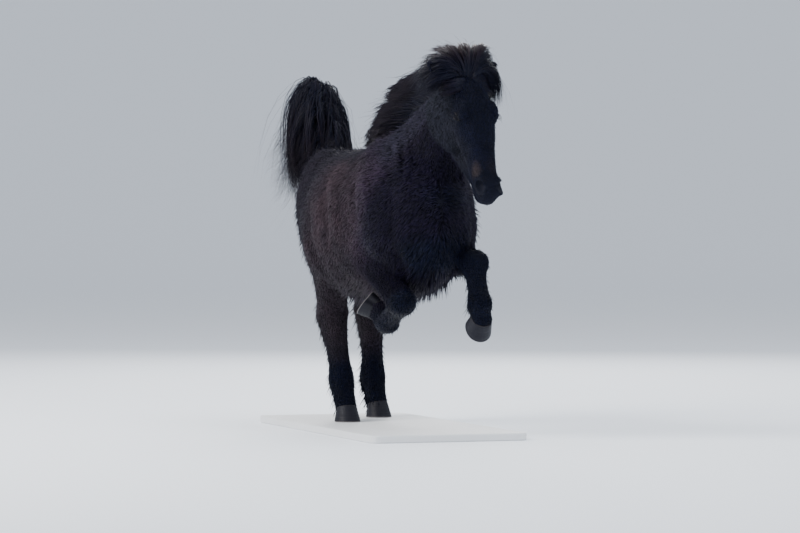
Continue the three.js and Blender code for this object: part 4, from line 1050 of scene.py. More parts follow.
def makeLidMaterial():
    material, tree, shader, place = newMaterial("lidSkin", 0.5, Specular_IOR_Level=0.2)
    grain = noise(tree, place, 700.0, 3.0)
    tree.links.new(mixed(tree, grain, (0.003, 0.003, 0.0045), (0.009, 0.0075, 0.009)), shader.inputs["Base Color"])
    bump(tree, shader, grain, 0.4, 0.0008)
    return material


def makeBoardMaterial():
    material, tree, shader, place = newMaterial("boardPaint", 0.55)
    speck = noise(tree, stretched(tree, place, (220, 220, 220)), 1.0, 3.0)
    cloud = noise(tree, place, 3.0, 3.0)
    colour = mixed(tree, cloud, (0.70, 0.71, 0.72), (0.78, 0.785, 0.79))
    tree.links.new(colour, shader.inputs["Base Color"])
    tree.links.new(ramp(tree, speck, 0.3, 0.7, 0.48, 0.66), shader.inputs["Roughness"])
    bump(tree, shader, speck, 0.25, 0.0006)
    return material


skin.data.materials.append(makeSkinMaterial())
coatMaterial = makeCoatMaterial("bodyCoat")
legMaterial = makeCoatMaterial("legCoat", 0.9, 0.45)
hairMaterial = makeHairMaterial("longHair", 0.35)
forelockMaterial = makeHairMaterial("forelockHair", 0.8)
print("stage: materials")
# Short coat: tufts set over the skin.
tuftLook = {
    "bend": (0.04, 0.1, 0.18), "rings": ((0, 0.6), (0.42, 1.0)), "thick": 0.34, "density": 22500.0,
    "quickShare": 0.35, "width": 0.0071, "lift": 0.26, "jitter": 0.13, "neat": 0.93, "usualLength": 0.036,
}


def makeTuft(bend, index):
    rows = []
    for v, size in tuftLook["rings"]:
        drop = -bend * v * v
        for x, y in ((-0.5, 0), (0, tuftLook["thick"]), (0.5, 0)):
            rows.append((x * size, y * size + drop, v, v, x + 0.5))
    rows.append((0, -bend, 1, 1, 0.5))
    rows = np.array(rows)
    # A three-sided prism that widens from its closed root, then runs to a point.
    tris = [(0, 2, 1)]
    for i in range(3):
        j = (i + 1) % 3
        tris += [(i, j, j + 3), (i, j + 3, i + 3), (3 + i, 3 + j, 6)]
    points = rows[:, :3].copy()
    points[:, 0] *= -1
    made = meshFrom(f"tuft{index}", points, np.array(tris))
    setValues(made.data, "along", rows[:, 3])
    setValues(made.data, "side", rows[:, 4])
    return made


def coatTree():
    tree, given, result = geometryTree("coat", [
        ("Region", "NodeSocketInt", 0), ("Density", "NodeSocketFloat", tuftLook["density"]),
        ("Width", "NodeSocketFloat", tuftLook["width"]), ("Lift", "NodeSocketFloat", tuftLook["lift"]),
        ("Jitter", "NodeSocketFloat", tuftLook["jitter"]), ("Neat", "NodeSocketFloat", tuftLook["neat"]),
        ("Seed", "NodeSocketInt", 3), ("Tuft A", "NodeSocketObject", None), ("Tuft B", "NodeSocketObject", None),
        ("Tuft C", "NodeSocketObject", None), ("Material", "NodeSocketMaterial", None)])
    here = put(tree, "FunctionNodeCompare", data_type="INT", operation="EQUAL")
    tree.links.new(named(tree, "region", "INT"), here.inputs[2])
    tree.links.new(given["Region"], here.inputs[3])
    density = times(tree, named(tree, "thickness"), given["Density"])
    spread = put(tree, "GeometryNodeDistributePointsOnFaces", {
        "Mesh": given["Geometry"], "Selection": here.outputs[0], "Density": density, "Seed": given["Seed"],
    }, distribute_method="RANDOM")
    roots, normal = spread.outputs["Points"], spread.outputs["Normal"]
    # Each tuft leans along the lie of the coat; a few strays and those in a fringe stand off more.
    shake = put(tree, "FunctionNodeRandomValue", {0: (-1, -1, -1), 1: (1, 1, 1)}, data_type="FLOAT_VECTOR")
    fringe = named(tree, "fringe")
    stray = math2(tree, "GREATER_THAN", chance(tree, 0.0, 1.0, 14), given["Neat"])
    off = plus(tree, 1.0, plus(tree, times(tree, fringe, 2.0), times(tree, stray, 1.2)))
    lift = times(tree, given["Lift"], off)
    growth = vectors(tree, "ADD", named(tree, "lie", "FLOAT_VECTOR"), vectors(tree, "SCALE", normal, scale=lift))
    growth = vectors(tree, "ADD", growth, vectors(tree, "SCALE", shake.outputs[0], scale=given["Jitter"]))
    growth = vectors(tree, "NORMALIZE", growth)
    turned = put(tree, "FunctionNodeAxesToRotation", {"Primary Axis": growth, "Secondary Axis": normal},
                 primary_axis="Z", secondary_axis="Y").outputs[0]
    roots = keep(tree, roots, "tone", chance(tree, 0.0, 1.0, 11))
    roots = keep(tree, roots, "rootPatch", named(tree, "OFBake", "FLOAT_VECTOR"), "FLOAT_VECTOR")
    # Long tufts are wider, but finer in a fringe.
    stretch = math2(tree, "DIVIDE", named(tree, "coatLength"), tuftLook["usualLength"])
    wide = times(tree, times(tree, given["Width"], chance(tree, 0.68, 1.3, 12)), math2(tree, "POWER", stretch, 0.42))
    long = times(tree, named(tree, "coatLength"), chance(tree, 0.7, 1.2, 13))
    long = times(tree, long, plus(tree, 1.0, times(tree, stray, 0.7)))
    wide = times(tree, wide, minus(tree, 1.0, times(tree, 0.35, math2(tree, "MAXIMUM", fringe, stray))))
    kinds = tree.nodes.new("GeometryNodeJoinGeometry")
    for label in ("Tuft A", "Tuft B", "Tuft C"):
        info = put(tree, "GeometryNodeObjectInfo", {"Object": given[label], "As Instance": True})
        tree.links.new(info.outputs["Geometry"], kinds.inputs[0])
    placed = put(tree, "GeometryNodeInstanceOnPoints", {
        "Points": roots, "Instance": kinds.outputs[0], "Pick Instance": True, "Rotation": turned,
        "Scale": joined(tree, wide, wide, long)})
    whole = put(tree, "GeometryNodeRealizeInstances", {"Geometry": placed.outputs[0]}).outputs[0]
    whole = patchOf(tree, whole, named(tree, "rootPatch", "FLOAT_VECTOR"), named(tree, "side"), named(tree, "along"))
    tree.links.new(coloured(tree, whole, given["Material"]), result["Geometry"])
    return tree


tufts = [makeTuft(bend, i) for i, bend in enumerate(tuftLook["bend"])]
coat = coatTree()
coatFaces = 0
for number, name in enumerate(regions):
    values = {
        "Region": number, "Density": tuftLook["density"] * 1,
        "Seed": 20 + number, "Tuft A": tufts[0], "Tuft B": tufts[1], "Tuft C": tufts[2],
        "Material": legMaterial if "Leg" in name else coatMaterial,
    }
    piece = madeBy(coat, skin, name + "Coat", values)
    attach(piece, "root")
    coatFaces += len(piece.data.polygons)
for one in tufts:
    bpy.data.objects.remove(one)
print("stage: short coat", coatFaces, "faces")


# Long hair: thin tapered locks that follow curves.
def hairTree():
    tree, given, result = geometryTree("longHair", [
        ("Sides", "NodeSocketInt", 3), ("Flatness", "NodeSocketFloat", 0.38),
        ("Material", "NodeSocketMaterial", None)])
    curve = put(tree, "GeometryNodeMeshToCurve", {0: given["Geometry"]}).outputs[0]
    outward = named(tree, "outward", "FLOAT_VECTOR")
    curve = put(tree, "GeometryNodeSetCurveNormal", {"Curve": curve, "Normal": outward}, mode="FREE").outputs[0]
    curve = keep(tree, curve, "along", put(tree, "GeometryNodeSplineParameter").outputs["Factor"])
    ring = put(tree, "GeometryNodeCurvePrimitiveCircle", {"Resolution": given["Sides"], "Radius": 0.5}).outputs[0]
    ring = keep(tree, ring, "side", put(tree, "GeometryNodeSplineParameter").outputs["Factor"])
    squash = joined(tree, given["Flatness"], 1.0, 1.0)
    ring = put(tree, "GeometryNodeTransform", {"Geometry": ring, "Scale": squash}).outputs[0]
    whole = put(tree, "GeometryNodeCurveToMesh", {
        "Curve": curve, "Profile Curve": ring, "Scale": named(tree, "breadth"), "Fill Caps": True}).outputs[0]
    whole = patchOf(tree, whole, named(tree, "rootPatch", "FLOAT_VECTOR"), named(tree, "side"), named(tree, "along"))
    whole = put(tree, "GeometryNodeRealizeInstances", {"Geometry": whole}).outputs[0]
    tree.links.new(coloured(tree, whole, given["Material"]), result["Geometry"])
    return tree


def nearestPatches(points):
    # The unwrap's place of the skin point nearest to each root.
    mesh = skin.data
    corner = np.empty(len(mesh.loops), np.int32)
    mesh.loops.foreach_get("vertex_index", corner)
    uv = np.empty(len(mesh.loops) * 2, np.float32)
    mesh.uv_layers["OFBake"].data.foreach_get("uv", uv)
    byPoint = np.zeros((len(mesh.vertices), 2), np.float32)
    byPoint[corner] = uv.reshape(-1, 2)
    some = np.arange(0, len(skinPoints), 3)
    search = KDTree(len(some))
    for i in some:
        search.insert(skinPoints[i], int(i))
    search.balance()
    return np.array([byPoint[search.find(p)[1]] for p in points])


def bezier(corners, count):
    t = np.linspace(0, 1, count)[None, :, None]
    a, b, c, d = [np.asarray(corner, float)[:, None, :] for corner in corners]
    return a * (1 - t) ** 3 + 3 * b * t * (1 - t) ** 2 + 3 * c * t * t * (1 - t) + d * t**3


def wavy(paths, rng, size, turns, groups):
    # Locks sway together in groups, and each a little by itself.
    count, steps = paths.shape[:2]
    t = np.linspace(0, 1, steps)[None, :, None]
    sway = rng.normal(0, 1, (groups.max() + 1, 3, 2))[groups]
    own = rng.normal(0, 0.17, (count, 3, 2))
    phase = rng.uniform(0, 6.28, (groups.max() + 1, 1, 1))[groups] + rng.normal(0, 0.22, (count, 1, 1))
    mix = sway + own
    swing = np.sin(t * turns * 6.28 + phase) * mix[:, None, :, 0]
    drift = np.cos(t * turns * 3.1 + phase) * mix[:, None, :, 1]
    return paths + size * t * (swing + drift) * 0.6


def clumped(paths, groups, pull):
    # The tips of a group draw together, as damp hair does.
    steps = paths.shape[1]
    t = (np.linspace(0, 1, steps) ** 1.3)[None, :, None] * pull
    sums = np.zeros((groups.max() + 1, *paths.shape[1:]))
    np.add.at(sums, groups, paths)
    middle = sums / np.bincount(groups, minlength=len(sums))[:, None, None].clip(1)
    return paths * (1 - t) + middle[groups] * t


taper = ((0, 0.62), (0.15, 1.0), (0.55, 0.9), (0.82, 0.55), (1, 0.06))  # a lock's width from root to tip


def makeHair(name, paths, widths, outward, sun, seed, material, tree):
    rng = np.random.default_rng(seed)
    count, steps = paths.shape[:2]
    carrier = bpy.data.meshes.new(name + "Guides")
    carrier.vertices.add(count * steps)
    carrier.vertices.foreach_set("co", paths.astype(np.float32).ravel())
    starts = (np.arange(count)[:, None] * steps + np.arange(steps - 1)[None]).ravel()
    carrier.edges.add(len(starts))
    carrier.edges.foreach_set("vertices", np.stack([starts, starts + 1], -1).astype(np.int32).ravel())
    shape = np.interp(np.linspace(0, 1, steps), *zip(*taper))
    patches = np.concatenate([nearestPatches(paths[:, 0]), np.zeros((count, 1))], 1)
    setValues(carrier, "breadth", widths[:, None] * shape[None])
    for label, data, kind in (("tone", rng.random(count), "FLOAT"), ("sun", sun, "FLOAT"),
                              ("outward", outward, "FLOAT_VECTOR"), ("rootPatch", patches, "FLOAT_VECTOR")):
        setValues(carrier, label, np.repeat(np.asarray(data, np.float32), steps, 0), kind)
    holder = bpy.data.objects.new(name + "Guides", carrier)
    bpy.context.scene.collection.objects.link(holder)
    made = madeBy(tree, holder, name, {"Material": material})
    bpy.data.objects.remove(holder)
    made.data.polygons.foreach_set("use_smooth", np.ones(len(made.data.polygons), bool))
    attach(made, "root")
    print("  ", name, sum(len(p.vertices) - 2 for p in made.data.polygons))
    return made


def alongRow(rows, u):
    x = np.clip(u, 0, 1) * (len(rows) - 1)
    i = np.minimum(x.astype(int), len(rows) - 2)
    t = (x - i)[:, None]
    rows = np.array(rows)
    return rows[i] * (1 - t) + rows[i + 1] * t


def sunned(least, more):
    # How bleached each lock is: at least this, and up to so much more.
    return lambda paths, rng: least + more * rng.random(len(paths))


def sunnedOnTop(paths, rng):
    return np.clip((paths[:, -1, 2] - 1.6) / 0.08, 0.06, 1) * rng.uniform(0.3, 1, len(paths))


strays = {"width": 0.3, "pull": -0.7, "sway": 0.8}  # how strays differ from locks
mane = {
    "locks": 3400, "strays": 340, "width": (4, 8), "seed": 71, "sway": 0.012, "turns": 1.5, "pull": 0.6, "steps": 7,
    "sun": sunned(0.25, 0.35), "leftShare": 0.24, "bunches": 30,
    "crest": [at(535, 1522, 80), at(435, 1492, 62), at(304, 1420, 40), at(203, 1360, 22), at(85, 1288, 8),
              at(-20, 1256)],
    "reach": [at(318, 1562, -20), at(165, 1500, -78), at(70, 1462, -112), at(-22, 1382, -128), at(-100, 1282, -140),
              at(-205, 1206, -120)],
}
forelock = {
    "locks": 2100, "strays": 300, "width": (3.5, 7.5), "seed": 72, "sway": 0.006, "turns": 1.3, "pull": 0.5,
    "steps": 7, "sun": sunnedOnTop, "whorl": (18, 14, -12), "fan": (-118, 128), "lowFan": (84, 136), "lowShare": 0.22,
    "back": (-14, 112), "bunches": 26,
}
tail = {
    "locks": 3150, "strays": 420, "width": (4, 8.5), "seed": 73, "sway": 0.013, "turns": 1.3, "pull": 0.62,
    "steps": 8, "sun": sunned(0.35, 0.65), "bunches": 24,
    "dock": [at(-962, 1100), at(-1010, 1215), at(-1058, 1320), at(-1104, 1410, -4), at(-1146, 1482, -6)],
    "at": (0.15, 0.42, 0.7, 0.97), "spread": (90, 128, 138, 112), "lift": (52, 96, 150, 128),
    "drop": (255, 360, 440, 455),
}
brow = {"locks": 860, "strays": 60, "width": (3.2, 6.5), "seed": 74, "sway": 0.004, "turns": 1.1, "pull": 0.35,
        "steps": 7, "sun": sunned(0.05, 0.1)}
wisps = {"locks": 210, "strays": 120, "width": (2.2, 4.2), "seed": 75, "sway": 0.016, "turns": 1.6, "pull": 0.72,
         "steps": 11, "sun": sunned(0.3, 0.5), "bunches": 16}


def offsets(origin, left, up, behind):
    # Places beside an origin, each offset a column in millimetres.
    return origin + np.concatenate([left, behind, up], 1) * mm


def inBunches(share, count):
    return (np.clip(share, 0, 0.999) * count).astype(int)


def maneHair(rng, count, steps, loose):
    u = rng.random(count)
    lift = rng.uniform(-0.15, 1.15 + 0.4 * loose, count)[:, None]
    crest = alongRow(mane["crest"], u) + rng.normal(0, 7, (count, 3)) * mm
    reach = alongRow(mane["reach"], u + rng.normal(0, 0.05, count))
    onLeft = rng.random((count, 1)) < mane["leftShare"]
    reach = np.where(onLeft, crest + rng.uniform((70, 50, -170), (135, 150, -30), (count, 3)) * mm, reach)
    groups = inBunches(u, mane["bunches"]) * 3 + np.clip(((lift[:, 0] + 0.15) / 0.5).astype(int), 0, 2)
    groups = groups + mane["bunches"] * 3 * onLeft[:, 0]
    share = rng.uniform(0.8, 1.1, mane["bunches"] * 6)[groups][:, None]
    end = crest + (reach - crest) * share * rng.uniform(0.8, 1.04 + 0.06 * loose, (count, 1))
    flow = end - crest
    run = unit(alongRow(mane["crest"], u + 0.05) - alongRow(mane["crest"], u - 0.05))
    outward = unit(np.cross(run, flow))
    outward *= np.sign(outward[:, :1]) * np.where(onLeft, 1, -1)
    up = towards(-0.35, 0.94, -0.05)
    root = crest - up * 10 * mm
    rise = crest + up * (34 + 42 * lift) * mm + flow * 0.22
    fall = crest + flow * 0.72 + up * (26 * lift + rng.uniform(-16, 20, (count, 1))) * mm
    fall = fall + outward * rng.uniform(-10, 12, (count, 1)) * mm
    tip = end + up * rng.uniform(-34, 12, (count, 1)) * mm + rng.normal(0, 8 + 14 * loose, (count, 3)) * mm
    return bezier((root, rise, fall, tip), steps), outward, groups


def forelockHair(rng, count, steps, loose):
    whorl = headPoint(*forelock["whorl"])
    inLowFan = rng.random(count) < forelock["lowShare"]
    lowTurn = rng.uniform(*forelock["lowFan"], count)
    turn = np.radians(np.where(inLowFan, lowTurn, rng.uniform(*forelock["fan"], count)))
    aside, high = np.sin(turn)[:, None], np.cos(turn)[:, None]
    depth = rng.random((count, 1))
    back = forelock["back"][0] + (forelock["back"][1] - forelock["back"][0]) * depth
    groups = inBunches((turn - turn.min()) / (turn.max() - turn.min()), forelock["bunches"]) * 3
    groups = groups + np.clip((depth[:, 0] * 3).astype(int), 0, 2)
    low = ramped((np.abs(aside) - 0.75) / 0.2) * ramped(0.6 - high)
    reach = rng.uniform(0.84, 1.1, forelock["bunches"] * 3)[groups][:, None]
    reach = reach * rng.uniform(0.84 - 0.42 * low, 1.03 + 0.06 * loose)
    far = np.where(aside < 0, 204, 170) * reach
    over = ramped(aside)
    hang = np.where(aside > 0, np.maximum(aside - 0.66, 0) * 520, np.maximum(-aside - 0.55, 0) * 270)
    hang = hang * rng.uniform(0.4, 1.1, (count, 1))
    root = leftward * (aside * 14 + rng.normal(0, 4, (count, 1)))
    root = whorl + (root + headDown * (8 + depth * 14) + headFace * (-16 - depth * 24)) * mm
    rise = offsets(whorl, aside * 46, 50 + 30 * high - hang * 0.08 + 26 * over, -16 + back * 0.4)
    fall = offsets(whorl, aside * (far * 0.84 + hang * 0.16), 72 + 84 * high * reach - hang * 0.24 + 74 * over,
                   back * 0.8 + 6 + 34 * over - hang * 0.1)
    height = np.where(high > 0, 44 + 112 * high * reach, 44 + 60 * high) - hang
    tip = offsets(whorl, aside * (far * (1.06 - 0.07 * over) + hang * 0.05), height, back + 44 + 34 * high)
    tip = tip + rng.normal(0, 6 + 10 * loose, (count, 3)) * mm
    outward = unit(np.concatenate([aside * 0.5, np.full_like(aside, -0.62), 0.62 + 0.2 * high - hang * 0.004], 1))
    return bezier((root, rise, fall, tip), steps), outward, groups


def tailHair(rng, count, steps, loose):
    v = rng.uniform(0.1, 1.0, count) ** 0.8
    spread, lift, drop = [np.interp(v, tail["at"], tail[key])[:, None] for key in ("spread", "lift", "drop")]
    turn = rng.uniform(0, 2 * math.pi, count)
    side, backward = np.sin(turn)[:, None], np.cos(turn)[:, None]
    groups = (turn / 6.2832 * tail["bunches"]).astype(int) * 4 + np.clip((v * 4).astype(int), 0, 3)
    share = rng.uniform(0.84, 1.12, tail["bunches"] * 4)[groups][:, None] * (1 - 0.17 * side)
    lift = lift * (1.08 - 0.45 * side)
    dock = alongRow(tail["dock"], v)
    out = spread * share * rng.uniform(0.3, 1.08 + 0.2 * loose, (count, 1)) ** 0.8
    front = np.maximum(-backward, 0)
    fallBy = drop * (1 - 0.5 * front) * rng.uniform(0.55, 1.08, (count, 1))
    flare = loose * rng.uniform(0, 1, (count, 1)) ** 1.5 * 170
    root = offsets(dock, side * 20, rng.uniform(-16, 10, (count, 1)), backward * 20)
    rise = offsets(dock, side * out * 0.7, lift * rng.uniform(0.8, 1.12, (count, 1)), backward * out * 0.6 + 34)
    fall = offsets(dock, side * out * 1.5, lift * 0.45 - fallBy * 0.22, backward * out * 1.25 + 66)
    tip = offsets(dock, side * out * 1.16 + rng.normal(0, 18 + 20 * loose, (count, 1)) - flare, -fallBy + flare * 0.4,
                  backward * out * 1.1 + 84 + 30 * backward)
    outward = unit(np.concatenate([side, backward, np.full_like(side, 0.35)], 1))
    return bezier((root, rise, fall, tip), steps), outward, groups


def browHair(rng, count, steps, loose):
    # The lowest locks of the forelock, parted over the forehead.
    s = np.where(rng.random(count) < 0.52, -1.0, 1.0)[:, None]
    d = rng.random((count, 1)) * np.where(s > 0, 1.75, 1.0) - np.where(s > 0, 0.75, 0.0)
    groups = ((d[:, 0] + 1) * 2.45).astype(int) + 5 * (s[:, 0] > 0) + 10 * rng.integers(0, 3, count)
    reach = rng.uniform(0.8, 1.08, (count, 1))
    rootDown, rootFace = rng.uniform(-6, 10, (count, 1)), rng.uniform(-6, 4, (count, 1))
    root = headPoint(10 + rootDown, 6 + rootFace, -12 + s * rng.uniform(0, 14, (count, 1)))
    high = np.maximum(-d, 0)
    rise = headPoint(22 + 46 * d, 34 - 6 * d, -12 + s * 34 * reach)
    fall = headPoint(14 + 66 * d, 26 - 8 * d + 6 * high, s * (92 + 34 * high) * reach)
    tipDown, tipFace = rng.normal(0, 5, (count, 1)), rng.normal(0, 8, (count, 1))
    tip = headPoint(12 + 66 * d + tipDown, -42 + tipFace, s * (120 + 34 * high + 16 * rng.random((count, 1))) * reach)
    tip = tip + rng.normal(0, 10 * loose + 1, (count, 3)) * mm
    outward = unit(np.tile(headFace, (count, 1)) + s * headSide * 0.5)
    return bezier((root, rise, fall, tip), steps), outward, groups


def tailWisps(rng, count, steps, loose):
    # Loose wisps that the wind takes out of the tail, most of them on its right.
    v = rng.uniform(0.15, 0.95, count)
    dock = alongRow(tail["dock"], v)
    groups = rng.integers(0, wisps["bunches"], count)

    def perBunch(low, high):
        return rng.uniform(low, high, wisps["bunches"])[groups][:, None]

    low = perBunch(0.35, 1.0) * rng.uniform(0.85, 1.1, (count, 1))
    out = perBunch(70, 185) + rng.normal(0, 12, (count, 1))
    curl = perBunch(-50, 70)
    behind = perBunch(20, 150)
    drop = -390 * low
    root = offsets(dock, rng.normal(-20, 16, (count, 1)), rng.uniform(-10, 10, (count, 1)),
                   rng.uniform(0, 20, (count, 1)))
    rise = offsets(dock, -100 + rng.normal(0, 12, (count, 1)), rng.uniform(40, 90, (count, 1)), behind * 0.6)
    fall = offsets(dock, -130 - out * 0.1 + rng.normal(0, 10, (count, 1)), drop * 0.8, behind)
    tip = offsets(dock, -104 - out, drop + curl, behind + rng.normal(0, 24, (count, 1)))
    outward = np.tile([-1.0, 0.2, 0.1], (count, 1))
    return bezier((root, rise, fall, tip), steps), outward, groups


hair = hairTree()


def growHair(name, table, maker, material):
    # The locks of one place, then its finer and looser strays.
    rng = np.random.default_rng(table["seed"])
    made = []
    for part, (label, loose) in enumerate((("locks", 0), ("strays", 1))):
        count = int(table[label] * (1))
        paths, outward, groups = maker(rng, count, table["steps"], loose)
        paths = clumped(paths, groups, table["pull"] * (1 + strays["pull"] * loose))
        paths = wavy(paths, rng, table["sway"] * (1 + strays["sway"] * loose), table["turns"], groups)
        widths = rng.uniform(*table["width"], count) * mm
        widths = widths * (strays["width"] if loose else 1) * 1
        sun = table["sun"](paths, rng)
        seed = table["seed"] + 50 + part
        made.append(makeHair(name + ("Strays" if loose else ""), paths, widths, outward, sun, seed, material, hair))
    return made


maneLocks = growHair("mane", mane, maneHair, hairMaterial)
forelockLocks = growHair("forelock", forelock, forelockHair, forelockMaterial)
tailLocks = growHair("tail", tail, tailHair, hairMaterial)
growHair("brow", brow, browHair, forelockMaterial)
growHair("tailWisps", wisps, tailWisps, hairMaterial)
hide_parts("mane")
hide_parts("forelock")
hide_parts("tail")
print("stage: long hair")


# Hooves.
hoof = {
    "around": 72, "levels": 22,
    "sole": ((0.12, 6), (0.3, 7.5), (0.45, 8), (0.6, 7.5), (0.74, 6), (0.83, 3.5), (0.86, 0.4), (0.95, 0)),
    "cleft": 0.16, "cleftWidth": 0.32, "rings": 0.004,
}


def ringFaces(rings, n):
    return np.array([(j * n + i, j * n + (i + 1) % n, (j + 1) * n + (i + 1) % n, (j + 1) * n + i)
                     for j in range(rings - 1) for i in range(n)])


def facingOut(points, faces, middle=0):
    # The same faces, wound so that they face away from the middle.
    p = points[faces] - middle
    inward = np.einsum("ij,ij->i", p[:, 0], np.cross(p[:, 1], p[:, 2])).sum() < 0
    return faces[:, ::-1] if inward else faces


def makeHoof(name, leg, node, material):
    side = unit(np.cross(leg["toe"], leg["under"]))
    toe = unit(np.cross(leg["under"], side))
    rings, heights, rounds = [], [], []
    profile = [(0, share, recess) for share, recess in hoof["sole"]] + [(0.03, 0.985, 0)]
    profile += [(v, 1, 0) for v in np.linspace(0.07, 0.97, hoof["levels"])] + [(1.0, 0.985, 0), (1.0, 0.93, 0)]
    angles = np.linspace(0, 2 * math.pi, hoof["around"], endpoint=False)
    for v, taperTo, recess in profile:
        c, s = np.cos(angles), np.sin(angles)
        toeLength, heelLength, half = [
            hoofSize[low] + (hoofSize[top] - hoofSize[low]) * v
            for low, top in (("toe", "topToe"), ("heel", "topHeel"), ("half", "topHalf"))]
        length = np.where(c > 0, toeLength, heelLength)
        cleft = 1 - hoof["cleft"] * np.exp(-(((angles - math.pi) / hoof["cleftWidth"]) ** 2))
        ridge = 1 + hoof["rings"] * math.sin(v * 30)
        along = np.sign(c) * np.abs(c) ** 0.9 * length * taperTo * cleft * ridge
        frogWidth = 0.3 * (1 - np.clip(c * taperTo * 1.3 + 0.55, 0, 0.99))
        frog = np.exp(-((s * taperTo / frogWidth) ** 4)) * (c * taperTo < 0.3) * (taperTo < 0.8)
        hollow = recess * (1 - 0.9 * frog)
        lift = v * (hoofSize["height"] + hoofSize["slope"] * along) + hollow
        ring = np.outer(along - hoofSize["setBack"] * v, toe) + np.outer(s * half * taperTo * ridge, side)
        rings.append(leg["sole"] + (ring - np.outer(lift, leg["under"])) * mm)
        heights.append(v - np.full(len(angles), 0.03) * recess)
        rounds.append(np.abs(angles - math.pi) / math.pi)
    n = len(angles)
    points = np.concatenate([*rings, [rings[0].mean(0)], [rings[-1].mean(0)]])
    quads = ringFaces(len(rings), n)
    tris = [(a, b, c) for a, b, c, d in quads] + [(a, c, d) for a, b, c, d in quads]
    last = (len(rings) - 1) * n
    tris += [((i + 1) % n, i, len(points) - 2) for i in range(n)]
    tris += [(last + i, last + (i + 1) % n, len(points) - 1) for i in range(n)]
    made = meshFrom(name, points, facingOut(points, np.array(tris)))
    for label, data, ends in (("height", heights, [-0.2, 1]), ("round", rounds, [0, 0])):
        setValues(made.data, label, np.concatenate([*data, ends]))
    made.data.materials.append(material)
    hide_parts(node)
    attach(made, "root")


horn = makeHoofMaterial()
for sideName in ("left", "right"):
    makeHoof("hoofFore" + sideName.title(), fore[sideName], "hoof_fore_" + sideName, horn)
    makeHoof("hoofHind" + sideName.title(), hind[sideName], "hoof_hind_" + sideName, horn)
print("stage: hooves")


# Eyes.
eyeball = {"rows": 40, "around": 56, "turn": 0.42, "bulge": 0.055, "pupil": (1.35, 0.75), "white": 0.66,
           "outside": 9.0}


def makeEye(name, s, node, material):
    centre = eyeCentre(s)
    gaze = unit(headSide * s + headFace * eyeball["turn"])
    long = unit(headDown - gaze * np.dot(headDown, gaze))
    high = np.cross(gaze, long)
    rows, cols, outside = eyeball["rows"], eyeball["around"], eyeball["outside"]
    points, iris, rim = [centre - gaze * eye["radius"] * mm], [outside], [outside]
    for r in range(1, rows):
        polar = math.pi * (1 - r / rows)
        for c in range(cols):
            a = 2 * math.pi * c / cols
            bulge = 1 + eyeball["bulge"] * max(0.0, math.cos(polar) - 0.72) / 0.28
            out = gaze * math.cos(polar) * bulge + (long * math.cos(a) + high * math.sin(a)) * math.sin(polar)
            points.append(centre + out * eye["radius"] * mm)
            x, y = math.sin(polar) * math.cos(a), math.sin(polar) * math.sin(a)
            front = math.cos(polar) > 0
            iris.append(math.hypot(x / eyeball["pupil"][0], y / eyeball["pupil"][1]) if front else outside)
            rim.append(math.hypot(x, y) / eyeball["white"] if front else outside)
    points.append(centre + gaze * eye["radius"] * (1 + eyeball["bulge"]) * mm)
    iris.append(0.0)
    rim.append(0.0)
    tris = [(0, 1 + (c + 1) % cols, 1 + c) for c in range(cols)]
    for r in range(rows - 2):
        for c in range(cols):
            a, b = 1 + r * cols + c, 1 + r * cols + (c + 1) % cols
            tris += [(a, b, b + cols), (a, b + cols, a + cols)]
    last = 1 + (rows - 2) * cols
    tris += [(last + c, last + (c + 1) % cols, len(points) - 1) for c in range(cols)]
    points = np.array(points)
    made = meshFrom(name, points, facingOut(points, np.array(tris), centre))
    setValues(made.data, "iris", iris)
    setValues(made.data, "rim", rim)
    made.data.materials.append(material)
    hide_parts(node)
    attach(made, "root")


def lidLine(s, angles, ride):
    # Points round the opening of the lids, a little outside the eyeball.
    u = eye["slit"][0] * np.cos(angles)
    v = eye["slit"][1] * np.sin(angles) - eye["bow"] * u * u
    out = np.sqrt(np.maximum((eye["radius"] + ride) ** 2 - u * u - v * v, 9))
    return eyeCentre(s) + (np.outer(u, eyeLong) + np.outer(v, eyeHigh) + np.outer(out, headSide * s)) * mm


def makeLids(name, s, material):
    n, around = lids["around"], lids["aroundRim"]
    line = lidLine(s, np.linspace(0, 2 * math.pi, n, endpoint=False), lids["ride"])
    run = unit(np.roll(line, -1, 0) - np.roll(line, 1, 0))
    outward = unit(line - eyeCentre(s))
    aside = unit(np.cross(run, outward))
    outward = np.cross(aside, run)
    rims = [line + (aside * math.cos(a) + outward * math.sin(a) * 0.8) * lids["thick"] * mm
            for a in np.linspace(0, 2 * math.pi, around, endpoint=False)]
    points = np.concatenate(rims)
    faces = ringFaces(around + 1, n) % (around * n)
    made = meshFrom(name, points, facingOut(points, faces, line.mean(0)))
    made.data.materials.append(material)
    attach(made, "root")


def makeLashes(name, s, seed):
    rng = np.random.default_rng(seed)
    count = lids["lashes"]
    angles = rng.uniform(0.28, math.pi - 0.28, count)
    root = lidLine(s, angles, lids["lashRide"])
    size = lids["lashLength"] * rng.uniform(0.6, 1.1, (count, 1)) * mm
    lean = eyeLong * (np.cos(angles) * 0.5 + rng.normal(0, 0.14, count))[:, None]
    outward = headSide * s
    low = root + (outward * 0.45 + eyeHigh * 0.12 + lean * 0.4) * size
    middle = root + (outward * 0.85 - eyeHigh * 0.12 + lean) * size
    tip = root + (outward * 1.0 - eyeHigh * 0.5 + lean * 1.2) * size
    widths = np.full(count, lids["lashWidth"]) * mm
    paths = bezier((root, low, middle, tip), lids["lashSteps"])
    makeHair(name, paths, widths, np.tile(eyeHigh, (count, 1)), np.zeros(count), seed, hairMaterial, hair)


